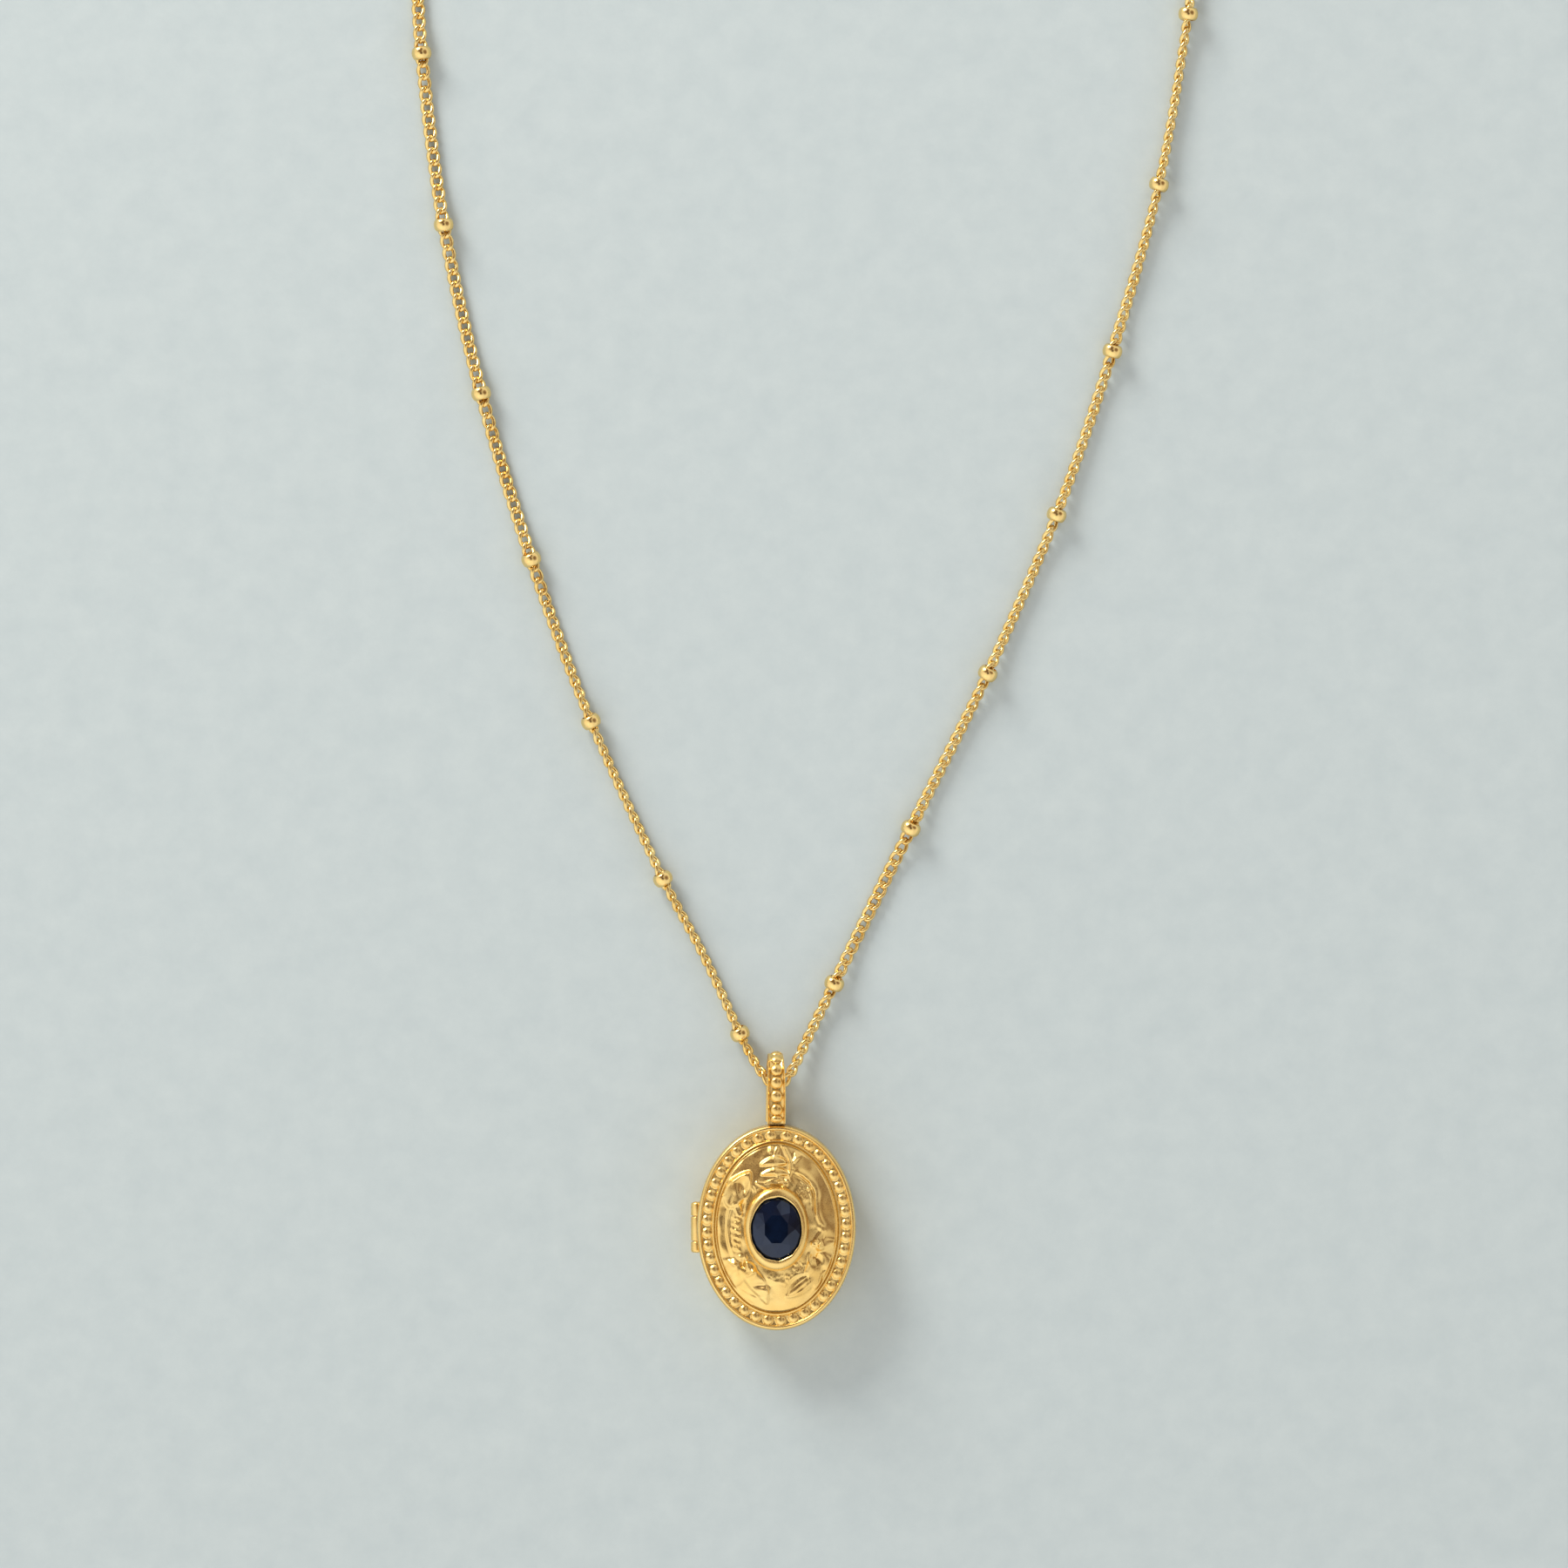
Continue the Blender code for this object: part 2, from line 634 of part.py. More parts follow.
def make_end_rings(gold, collection):
    """The clasp's eye, the jump ring that joins it to the left side, and the ring that the
    clasp closes on at the end of the right side."""
    clasp = Vector((CLASP_X, CLASP_Y, CLASP_Z))
    for name, place, radius, wire, lean in (
        ("clasp_eye", -EYE_CENTRE, EYE_RADIUS, EYE_WIRE, 0.0),
        ("end_ring_left", -LEFT_RING_CENTRE, LEFT_RING_RADIUS, LEFT_RING_WIRE, LEFT_RING_LEAN),
        ("end_ring_right", RIGHT_RING_CENTRE, RIGHT_RING_RADIUS, RIGHT_RING_WIRE, RIGHT_RING_LEAN),
    ):
        points = ring_points(clasp + Vector((place, 0, 0)), radius, lean)
        tube(name, points, wire, gold, collection, cyclic=True)


# ---------------------------------------------------------------- the whole necklace
def main():
    clear_scene()
    parts = new_collection("locket_necklace")
    cutters = new_collection("cutters")
    case_gold = satin_gold("case_gold")
    chain_gold = satin_gold("chain_gold")
    sapphire_blue = new_material("sapphire_blue", (0.006, 0.012, 0.045), 0.0, 0.04)
    clear_window = new_material("clear_window", (0.9, 0.9, 0.9), 0.0, 0.08, alpha=0.35)
    spring_steel = new_material("spring_steel", (0.55, 0.55, 0.56), 1.0, 0.35)
    make_back_shell(case_gold, parts, cutters)
    make_front_cover(case_gold, parts, cutters)
    make_snap_rim(case_gold, parts)
    make_photo_fittings(case_gold, clear_window, parts)
    make_hinge(case_gold, parts, cutters)
    make_bezel(case_gold, parts)
    make_sapphire(sapphire_blue, parts)
    make_bail(case_gold, parts, cutters)
    make_bail_lug(case_gold, parts)
    make_chain_side("left", LEFT_ROUTE, FIRST_BEAD_LEFT, chain_gold, parts)
    make_chain_side("right", RIGHT_ROUTE, FIRST_BEAD_RIGHT, chain_gold, parts)
    make_clasp_body(chain_gold, parts, cutters)
    make_bolt(chain_gold, spring_steel, parts)
    make_end_rings(chain_gold, parts)


main()
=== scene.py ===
# %% [markdown]
# # A hinged locket on a fine curb chain
#
# The necklace is an oval locket with cast flowers round a dark blue stone, a beaded bail, and a
# fine chain of twisted links with small ring beads threaded on it. This file gives the packed
# CAD frame its looks: real chain links, cast relief, turned beads and metal that reflects.
#
# The frame comes first. Its pieces keep their places, and each piece made here rides on one of
# its bodies: the chain, the pendant, the lid of the locket, or the bolt of the clasp.

# %% Load the frame
import math

import bmesh
import bpy
import numpy as np
from mathutils import Matrix, Vector


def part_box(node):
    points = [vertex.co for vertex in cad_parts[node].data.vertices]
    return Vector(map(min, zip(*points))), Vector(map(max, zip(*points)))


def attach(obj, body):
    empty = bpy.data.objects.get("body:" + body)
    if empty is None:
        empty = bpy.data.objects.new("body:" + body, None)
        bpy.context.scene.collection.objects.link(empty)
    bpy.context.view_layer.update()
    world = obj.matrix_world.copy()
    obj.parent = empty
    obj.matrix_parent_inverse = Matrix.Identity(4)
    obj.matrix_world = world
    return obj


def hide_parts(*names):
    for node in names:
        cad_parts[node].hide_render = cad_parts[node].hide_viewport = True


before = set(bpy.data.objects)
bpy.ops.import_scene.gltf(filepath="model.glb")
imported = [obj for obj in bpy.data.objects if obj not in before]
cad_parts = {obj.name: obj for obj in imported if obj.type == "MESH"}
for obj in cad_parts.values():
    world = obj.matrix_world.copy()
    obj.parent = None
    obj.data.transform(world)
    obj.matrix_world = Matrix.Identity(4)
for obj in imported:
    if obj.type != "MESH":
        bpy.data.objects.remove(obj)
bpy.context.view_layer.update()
MM = 0.001

# %% [markdown]
# ## The camera
#
# Small jewellery is shown flat, from straight above, with a long lens so that nothing leans
# outwards. The camera hangs over a point on the chain, and its sensor's width fixes how much of
# the table it sees. The clasp and the rest of the chain lie past the top edge of what it sees.

# %% Hang the camera over the table
VIEW_CENTRE = Vector((0.7 * MM, 40.85 * MM, 0.0))
VIEW_WIDTH = 145.2 * MM
LENS = 180.0
SENSOR = 36.0

camera_data = bpy.data.cameras.new("camera")
camera_data.lens = LENS
camera_data.sensor_width = SENSOR
camera_data.clip_start = 0.01
camera_data.clip_end = 20.0
camera = bpy.data.objects.new("camera", camera_data)
camera_height = VIEW_WIDTH * LENS / SENSOR
camera.location = VIEW_CENTRE + Vector((0.0, 0.0, camera_height))
bpy.context.scene.collection.objects.link(camera)
bpy.context.scene.camera = camera
print("camera height in mm:", round(camera_height / MM, 1))

# %% [markdown]
# ## Helpers for meshes
#
# Every piece here is a grid of points wrapped into a surface: rows along the piece and columns
# round it. One function turns such a grid into faces and the next makes a mesh of them.

# %% Grids and meshes
def grid_faces(rows, columns, wrap_rows=False, wrap_columns=True, first=0):
    """The four-sided faces of a grid of points, listed row by row."""
    low = np.arange(rows if wrap_rows else rows - 1)
    side = np.arange(columns if wrap_columns else columns - 1)
    r, c = np.meshgrid(low, side, indexing="ij")
    up = (r + 1) % rows
    over = (c + 1) % columns
    corners = [r * columns + c, r * columns + over, up * columns + over, up * columns + c]
    return first + np.stack(corners, axis=-1).reshape(-1, 4)


def make_mesh(name, points, faces, smooth_angle=40.0):
    """A mesh of these points in metres, with its faces turned outwards and shaded smooth."""
    mesh = bpy.data.meshes.new(name)
    mesh.from_pydata([tuple(p) for p in points], [], [tuple(int(i) for i in f) for f in faces])
    bm = bmesh.new()
    bm.from_mesh(mesh)
    bmesh.ops.recalc_face_normals(bm, faces=bm.faces)
    bm.to_mesh(mesh)
    bm.free()
    mesh.shade_smooth()
    mesh.set_sharp_from_angle(angle=math.radians(smooth_angle))
    return mesh


print("faces in a grid of 3 rows and 4 columns:", len(grid_faces(3, 4)))

# %% [markdown]
# A piece is an object that rides on its body, has a slot for its material and hides the CAD
# solids it stands for. Round parts are a profile turned about an axis.

# %% Pieces and turned shapes
def add_piece(name, mesh, material, body, replaces=(), place=None):
    """An object of this mesh that rides on a body and stands for these CAD solids."""
    piece = bpy.data.objects.new(name, mesh)
    bpy.context.scene.collection.objects.link(piece)
    if place is not None:
        piece.matrix_world = place
    if material.name not in mesh.materials:
        mesh.materials.append(material)
    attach(piece, body)
    if replaces:
        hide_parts(*replaces)
    return piece


def turned(name, profile, segments, closed=False):
    """Turns a list of (radius, height) points about the Z axis."""
    turns = np.linspace(0.0, 2 * math.pi, segments, endpoint=False)
    radius, height = np.array(profile).T
    points = np.stack(
        [
            radius[:, None] * np.cos(turns),
            radius[:, None] * np.sin(turns),
            np.repeat(height[:, None], segments, axis=1),
        ],
        axis=-1,
    ).reshape(-1, 3)
    return make_mesh(name, points, grid_faces(len(profile), segments, wrap_rows=closed))


def facing(place, direction):
    """The matrix that puts a turned shape at a place with its axis along a direction."""
    turn = Vector(direction).to_track_quat("Z", "Y").to_matrix().to_4x4()
    return Matrix.Translation(Vector(place)) @ turn


print("a turned shape's top, facing along X:", tuple(facing((0, 0, 0), (1, 0, 0)) @ Vector((0, 0, 1))))

# %% [markdown]
# ## Materials
#
# Colours are written as the hex values that an eye would name and turned to linear light by one
# function. One other function adds a node with its settings and its links, so each material below
# reads as a short list of what drives what.

# %% Colour and node helpers
def linear(hex_colour, alpha=1.0):
    """An sRGB hex colour as linear red, green, blue and alpha."""
    channels = [int(hex_colour[i : i + 2], 16) / 255 for i in (1, 3, 5)]
    lit = [c / 12.92 if c <= 0.04045 else ((c + 0.055) / 1.055) ** 2.4 for c in channels]
    return (*lit, alpha)


def add_node(material, kind, links=None, inputs=None, **settings):
    """Adds a node, sets its properties and inputs, and links sockets of other nodes into it."""
    tree = material.node_tree
    node = tree.nodes.new(kind)
    for key, value in settings.items():
        setattr(node, key, value)
    for key, value in (inputs or {}).items():
        node.inputs[key].default_value = value
    for key, (other, socket) in (links or {}).items():
        tree.links.new(other.outputs[socket], node.inputs[key])
    return node


def range_inputs(low, high, low_value, high_value):
    """The inputs of a Map Range node that turns one range of a value into another."""
    return {"From Min": low, "From Max": high, "To Min": low_value, "To Max": high_value}


def new_material(name):
    """An empty node material, with the object's own space for its patterns."""
    made = bpy.data.materials.new(name)
    made.use_nodes = True
    made.node_tree.nodes.clear()
    return made, add_node(made, "ShaderNodeTexCoord")


def finish_material(material, links, inputs):
    """Adds the Principled shader with what drives it, and the material's output."""
    shader = add_node(material, "ShaderNodeBsdfPrincipled", links=links, inputs=inputs)
    add_node(material, "ShaderNodeOutputMaterial", links={"Surface": (shader, "BSDF")})
    return material


def per_metre(millimetres):
    """The texture scale whose pattern repeats about every so many millimetres."""
    return 1.0 / (millimetres * MM)


print("a pattern of 0.12 mm has a scale of", round(per_metre(0.12)))


# %% [markdown]
# ### Gold plate, satin and bright
#
# The locket is cast in silver or brass, tumbled and plated with yellow gold. Tumbling leaves a
# satin skin: reflections keep their colour but lose their edges, and the high spots rub brighter.
# The chain is drawn wire, so it stays smoother and more mirror-like. Gold's colour lives in the
# reflection, so the shader is fully metallic, and only the roughness and a fine bump change.
# A real satin grain is a few hundredths of a millimetre, too fine to see here: it is drawn at
# about 0.12 mm.

# %% Gold
def gold_plate(name, colour, deep_colour, smoothest, roughest, grain, depth):
    """Metallic gold whose colour and roughness drift, with a grain of so many millimetres."""
    made, space = new_material(name)
    drift = add_node(
        made,
        "ShaderNodeTexNoise",
        links={"Vector": (space, "Object")},
        inputs={"Scale": per_metre(2.4), "Detail": 3.0, "Roughness": 0.55},
    )
    fine = add_node(
        made,
        "ShaderNodeTexNoise",
        links={"Vector": (space, "Object")},
        inputs={"Scale": per_metre(grain), "Detail": 2.0, "Roughness": 0.6},
    )
    share = add_node(
        made,
        "ShaderNodeMapRange",
        links={"Value": (drift, "Fac")},
        inputs=range_inputs(0.3, 0.7, 0.0, 1.0),
    )
    tint = add_node(
        made,
        "ShaderNodeMix",
        data_type="RGBA",
        links={0: (share, "Result")},
        inputs={6: linear(colour), 7: linear(deep_colour)},
    )
    satin = add_node(
        made,
        "ShaderNodeMapRange",
        links={"Value": (fine, "Fac")},
        inputs=range_inputs(0.25, 0.75, smoothest, roughest),
    )
    bump = add_node(
        made,
        "ShaderNodeBump",
        links={"Height": (fine, "Fac")},
        inputs={"Strength": 1.0, "Distance": depth * MM},
    )
    drives = {"Base Color": (tint, 2), "Roughness": (satin, "Result"), "Normal": (bump, "Normal")}
    return finish_material(made, drives, {"Metallic": 1.0})


satin_gold = gold_plate("satin_gold_plate", "#F5D68D", "#EFC878", 0.24, 0.35, 0.12, 0.004)
bright_gold = gold_plate("bright_gold_plate", "#F6DA96", "#EFCA7A", 0.18, 0.26, 0.20, 0.001)
print("gold in linear light:", [round(c, 3) for c in linear("#F5D68D")])

# %% [markdown]
# ### Sapphire, clear sheet and spring wire
#
# The stone is a dark sapphire, cut and polished. It could be clear blue glass with light passing
# through it, but so little comes back through a stone this dark that it reads as a near-black navy
# body under a glossy skin, so it is made that way. Its high index gives each facet a grey-blue
# reflection.

# %% Stone
def cut_sapphire():
    made, space = new_material("polished_sapphire")
    zones = add_node(
        made,
        "ShaderNodeTexNoise",
        links={"Vector": (space, "Object")},
        inputs={"Scale": per_metre(2.0), "Detail": 2.0},
    )
    share = add_node(
        made,
        "ShaderNodeMapRange",
        links={"Value": (zones, "Fac")},
        inputs=range_inputs(0.35, 0.65, 0.0, 1.0),
    )
    body = add_node(
        made,
        "ShaderNodeMix",
        data_type="RGBA",
        links={0: (share, "Result")},
        inputs={6: linear("#060B16"), 7: linear("#0C1930")},
    )
    polish = add_node(
        made,
        "ShaderNodeMapRange",
        links={"Value": (zones, "Fac")},
        inputs=range_inputs(0.3, 0.7, 0.02, 0.06),
    )
    skin = {"IOR": 1.77, "Specular IOR Level": 0.42, "Specular Tint": linear("#C9D6F2")}
    return finish_material(made, {"Base Color": (body, 2), "Roughness": (polish, "Result")}, skin)


sapphire = cut_sapphire()
print("made", sapphire.name)

# %% [markdown]
# The pictures inside are covered by a clear acetate sheet, which is a little hazy, and more so in
# clouds. The clasp's spring is hard-drawn steel wire, whose drawing marks cross it in fine bands.

# %% Window and steel
def clear_sheet():
    made, space = new_material("clear_acetate_sheet")
    haze = add_node(
        made,
        "ShaderNodeTexNoise",
        links={"Vector": (space, "Object")},
        inputs={"Scale": per_metre(1.5), "Detail": 4.0},
    )
    cloud = add_node(
        made,
        "ShaderNodeMapRange",
        links={"Value": (haze, "Fac")},
        inputs=range_inputs(0.3, 0.7, 0.04, 0.12),
    )
    sheet = {"Base Color": linear("#E9EEF0"), "Alpha": 0.30, "IOR": 1.48}
    return finish_material(made, {"Roughness": (cloud, "Result")}, sheet)


def spring_wire():
    made, space = new_material("drawn_spring_steel")
    marks = add_node(
        made,
        "ShaderNodeTexNoise",
        links={"Vector": (space, "Object")},
        inputs={"Scale": per_metre(0.06), "Detail": 1.0},
    )
    tint = add_node(
        made,
        "ShaderNodeMix",
        data_type="RGBA",
        links={0: (marks, "Fac")},
        inputs={6: linear("#B9BABC"), 7: linear("#A2A3A6")},
    )
    drawn = add_node(
        made,
        "ShaderNodeMapRange",
        links={"Value": (marks, "Fac")},
        inputs=range_inputs(0.3, 0.7, 0.22, 0.36),
    )
    drives = {"Base Color": (tint, 2), "Roughness": (drawn, "Result")}
    return finish_material(made, drives, {"Metallic": 1.0})


acetate = clear_sheet()
spring_steel = spring_wire()
print("made", acetate.name, "and", spring_steel.name)

# %% [markdown]
# ## The chain
#
# A curb chain is made of wire ovals that are twisted a quarter turn each, so that all of them lie
# in one flat ribbon. It could be faked with a bump on a tube, but the light comes through the
# links and each one throws its own highlight, so here every link is real wire: an oval line,
# twisted end to end, with a round section. The links follow the same route as the CAD tubes.

# %% The route of each side
LEFT_ROUTE = [
    (-0.45, 13.20, 1.50), (-1.20, 13.95, 1.42), (-2.10, 15.30, 1.20), (-3.35, 17.70, 0.93),
    (-6.80, 25.10, 0.93), (-10.80, 32.70, 0.93), (-17.40, 47.20, 0.93), (-22.70, 61.70, 0.93),
    (-27.40, 77.30, 0.93), (-30.80, 92.70, 0.93), (-32.80, 108.20, 0.93), (-33.40, 121.00, 0.93),
    (-33.20, 135.00, 0.93), (-31.20, 148.90, 0.93), (-25.40, 157.40, 0.93),
    (-17.60, 157.00, 0.93), (-13.00, 149.20, 0.93), (-11.30, 138.50, 0.93),
    (-9.20, 130.00, 0.93), (-5.80, 126.60, 1.00), (-3.30, 126.00, 1.25),
]
RIGHT_ROUTE = [
    (0.45, 13.20, 1.50), (1.30, 14.10, 1.42), (2.40, 16.30, 1.15), (5.30, 22.30, 0.93),
    (12.50, 36.90, 0.93), (19.60, 51.20, 0.93), (26.20, 66.50, 0.93), (31.20, 81.30, 0.93),
    (35.40, 96.40, 0.93), (38.00, 111.50, 0.93), (39.40, 123.50, 0.93), (39.60, 135.50, 0.93),
    (37.40, 148.40, 0.93), (31.60, 156.30, 0.93), (24.20, 156.10, 0.93), (19.80, 148.80, 0.93),
    (18.00, 138.50, 0.93), (15.60, 130.00, 0.93), (11.60, 126.60, 1.00), (8.65, 126.00, 1.25),
]
ROUTE_STEPS = 24


def smooth_curve(corners, steps=ROUTE_STEPS):
    """A fine curve through the corners, and the distance run at each of its points."""
    corners = np.array(corners, float)
    before = 2 * corners[0] - corners[1]
    after = 2 * corners[-1] - corners[-2]
    corners = np.vstack([before, corners, after])
    t = (np.arange(steps) / steps)[:, None]
    spans = []
    for a, b, c, d in zip(corners, corners[1:], corners[2:], corners[3:]):
        curved = 2 * b + (c - a) * t + (2 * a - 5 * b + 4 * c - d) * t**2
        spans.append((curved + (3 * b - 3 * c + d - a) * t**3) / 2)
    fine = np.vstack([*spans, corners[-2]])
    run = np.concatenate([[0.0], np.cumsum(np.linalg.norm(np.diff(fine, axis=0), axis=1))])
    return fine, run


def along(fine, run, distances):
    """Points at these distances along a fine curve."""
    return np.stack([np.interp(distances, run, fine[:, k]) for k in range(3)], axis=-1)


for name, route in (("left", LEFT_ROUTE), ("right", RIGHT_ROUTE)):
    print(name, "route in mm:", round(float(smooth_curve(route)[1][-1]), 2))

# %% [markdown]
# ### One link
#
# A link's inside length is the chain's pitch, because each link hangs on the next one's wire.
# The line of the wire is an oval, turned about the chain's axis by an angle that grows from one
# end of the link to the other.

# %% Measures and shape of a link
LINK_PITCH = 1.14 * MM
LINK_WIDTH = 1.30 * MM
WIRE = 0.39 * MM
LINK_TWIST = math.radians(45)
LINK_RING = 26
WIRE_SIDES = 10

link_half_length = (LINK_PITCH + WIRE) / 2
link_half_width = (LINK_WIDTH - WIRE) / 2


def twisted_link():
    """The points of one link about its own middle: X along the chain and Z out of its face."""
    t = np.linspace(0.0, 2 * math.pi, LINK_RING, endpoint=False)
    x = link_half_length * np.cos(t)
    y = link_half_width * np.sin(t)
    lean = LINK_TWIST * x / link_half_length
    line = np.stack([x, y * np.cos(lean), y * np.sin(lean)], axis=-1)
    ahead = np.roll(line, -1, axis=0) - np.roll(line, 1, axis=0)
    ahead /= np.linalg.norm(ahead, axis=1)[:, None]
    face = np.stack([np.zeros_like(x), -np.sin(lean), np.cos(lean)], axis=-1)
    side = np.cross(face, ahead)
    side /= np.linalg.norm(side, axis=1)[:, None]
    face = np.cross(ahead, side)
    around = np.linspace(0.0, 2 * math.pi, WIRE_SIDES, endpoint=False)
    section = np.cos(around)[None, :, None] * side[:, None, :]
    section = section + np.sin(around)[None, :, None] * face[:, None, :]
    return (line[:, None, :] + WIRE / 2 * section).reshape(-1, 3)


link_points = twisted_link()
link_faces = grid_faces(LINK_RING, WIRE_SIDES, wrap_rows=True)
print("link length and width in mm:", np.round(np.ptp(link_points, axis=0)[:2] / MM, 2))

# %% [markdown]
# ### Laying the links along the route
#
# A fine chain never lies quite flat. It rolls slowly about its own line, so that some stretches
# show their open faces and some their edges, and the beads hold it up off the table. The roll is a
# short list of places in millimetres and angles in degrees for each side. Between the beads the
# links drop until they rest on the table.

# %% Where the beads are and how the chain rolls
BEAD_SPACING = 16.0 * MM
BEADS_PER_SIDE = 12
FIRST_BEAD = {"left": 5.5 * MM, "right": 10.5 * MM}
ROUTES = {"left": LEFT_ROUTE, "right": RIGHT_ROUTE}
ROLL = {
    "left": [(0, 68), (38, 66), (48, 36), (60, 6), (110, 4), (130, 50), (160, 10), (197, 0)],
    "right": [(0, 56), (9, 50), (14, 24), (20, 8), (25, 24), (30, 40), (44, 52), (64, 54), (76, 38),
              (89, 64), (112, 64), (140, 5), (197, 0)],
}
FIRST_LINK = 0.72 * MM
LAST_LINK = 0.30 * MM
DROP_RUN = 4.5 * MM
EDGE_REST = 0.63 * MM
FACE_REST = 0.37 * MM
print("beads a side:", BEADS_PER_SIDE, "every", round(BEAD_SPACING / MM, 1), "mm")

# %% [markdown]
# The links could be children of a curve that an Array modifier bends, but then they could neither
# roll nor drop. So each link's place, direction and roll are worked out here, for a whole side at
# once, and its points are set out along those three axes.

# %% Lay one side
def rest_height(roll):
    """How high a link's middle lies above the table when it is rolled by this angle."""
    return np.hypot(FACE_REST * np.cos(roll), EDGE_REST * np.sin(roll))


def chain_side(side):
    """The points of all links of one side, with the route's own line and its length."""
    fine, run = smooth_curve(np.array(ROUTES[side]) * MM)
    length = run[-1]
    count = int((length - FIRST_LINK - LAST_LINK) / LINK_PITCH) + 1
    places = FIRST_LINK + LINK_PITCH * np.arange(count)
    keys = np.array(ROLL[side], float)
    roll = np.radians(np.interp(places, keys[:, 0] * MM, keys[:, 1]))
    middle = along(fine, run, places)
    beads = FIRST_BEAD[side] + BEAD_SPACING * np.arange(BEADS_PER_SIDE)
    to_bead = np.abs(places[:, None] - beads[None, :]).min(axis=1)
    to_end = np.minimum(places, length - places)
    held = np.clip(1 - np.minimum(to_bead, to_end / 2) / DROP_RUN, 0.0, 1.0)
    held = held * held * (3 - 2 * held)
    rest = rest_height(roll)
    middle[:, 2] = rest + (middle[:, 2] - rest) * held
    tangent = np.gradient(middle, axis=0)
    tangent /= np.linalg.norm(tangent, axis=1)[:, None]
    flat = np.cross([0.0, 0.0, 1.0], tangent)
    flat /= np.linalg.norm(flat, axis=1)[:, None]
    up = np.cross(tangent, flat)
    across = flat * np.cos(roll)[:, None] + up * np.sin(roll)[:, None]
    out = np.cross(tangent, across)
    axes = np.stack([tangent, across, out], axis=1)
    points = middle[:, None, :] + np.einsum("pk,nkc->npc", link_points, axes)
    return points.reshape(-1, 3), count, fine, run


def link_mesh(name, points, count):
    per_link = len(link_points)
    faces = np.vstack([link_faces + k * per_link for k in range(count)])
    return make_mesh(name, points, faces, smooth_angle=80.0)


print("middle of a flat link above the table in mm:", round(float(rest_height(0.0)) / MM, 2))

# %% [markdown]
# Each side becomes one mesh, which stands for the CAD cord of that side. Its line and length are
# kept, since the beads are placed along them.

# %% Both sides of the chain
chain_lines = {}
for side in ("left", "right"):
    points, count, fine, run = chain_side(side)
    mesh = link_mesh("chain_links_" + side, points, count)
    piece = add_piece(
        "chain_links_" + side, mesh, bright_gold, "chain", ["chain_" + side]
    )
    chain_lines[side] = (fine, run)
    print(side, "links:", count, "length in mm:", round(run[-1] / MM, 2))

# %% [markdown]
# The two sides are one chain that runs through the bail. One more link lies across inside the
# bail and joins them.

# %% The link inside the bail
BAIL_LINK_CENTRE = np.array([0.0, 13.25 * MM, 1.50 * MM])
BAIL_LINK_SHRINK = 0.86
bail_link_points = link_points * BAIL_LINK_SHRINK + BAIL_LINK_CENTRE
bail_link = make_mesh("chain_link_in_bail", bail_link_points, link_faces, 80.0)
add_piece("chain_link_in_bail", bail_link, bright_gold, "chain")
print("link in the bail, mm long:", round(float(np.ptp(bail_link_points[:, 0])) / MM, 2))

# %% [markdown]
# ### The ring beads
#
# Each bead is a short rondelle, turned and polished, with a round belly and a wide bore that the
# links slip through. It is a profile turned about the chain's line. One mesh serves them all, and
# each leans a little its own way, as loose beads do.

# %% Turn the rondelles
BEAD_RADIUS = 0.92 * MM
BEAD_HALF = 0.595 * MM
BEAD_BORE = 0.57 * MM
BEAD_EDGE = 0.58 * MM
BELLY_STEPS = 16
BEAD_TIP = 0.12
TIP_PLAY = 0.12
SWING_PLAY = 0.10


def rondelle_profile():
    """The belly's outline is half an ellipse between the two edges of the bore."""
    belly = []
    for i in range(BELLY_STEPS + 1):
        turn = math.radians(90 - 180 * i / BELLY_STEPS)
        swell = max(0.0, math.cos(turn))
        belly.append((BEAD_EDGE + (BEAD_RADIUS - BEAD_EDGE) * swell, BEAD_HALF * math.sin(turn)))
    return [(BEAD_BORE, BEAD_HALF * 0.93), *belly, (BEAD_BORE, -BEAD_HALF * 0.93)]


bead_mesh = turned("rondelle", rondelle_profile(), 48, closed=True)
beads = {"left": [], "right": []}
lean_dice = np.random.default_rng(9)
for side in ("left", "right"):
    fine, run = chain_lines[side]
    for i in range(BEADS_PER_SIDE):
        place = FIRST_BEAD[side] + i * BEAD_SPACING
        behind, spot, ahead = along(fine, run, [place - BEAD_HALF, place, place + BEAD_HALF])
        node = f"satellite_{side}_{i + 1:02d}"
        tip = BEAD_TIP + lean_dice.uniform(-TIP_PLAY, TIP_PLAY)
        swing = lean_dice.uniform(-SWING_PLAY, SWING_PLAY)
        axis = Vector(ahead - behind).normalized()
        axis = axis + Vector((-axis.y, axis.x, 0.0)) * swing + Vector((0.0, 0.0, tip))
        name = f"rondelle_{side}_{i + 1:02d}"
        seat = facing(spot, axis)
        piece = add_piece(name, bead_mesh, bright_gold, "chain", [node], seat)
        beads[side].append(piece)
print("rondelles:", sum(len(found) for found in beads.values()))

# %% [markdown]
# ## The locket's two shells
#
# Both halves are thin cast ovals. An even wall needs ovals whose width and height shrink by the
# same amount and not by the same share, so each section is the outline less an inset. The back is
# smooth. The lid carries the rim, its row of cast beads and the flowers.

# %% Ovals
HALF_WIDTH = 7.30
HALF_HEIGHT = 9.43
OVAL_POINTS = 192


def inset(depth, z):
    """The outline's section this far in, at this height, in millimetres."""
    return (HALF_WIDTH - depth, HALF_HEIGHT - depth, z)


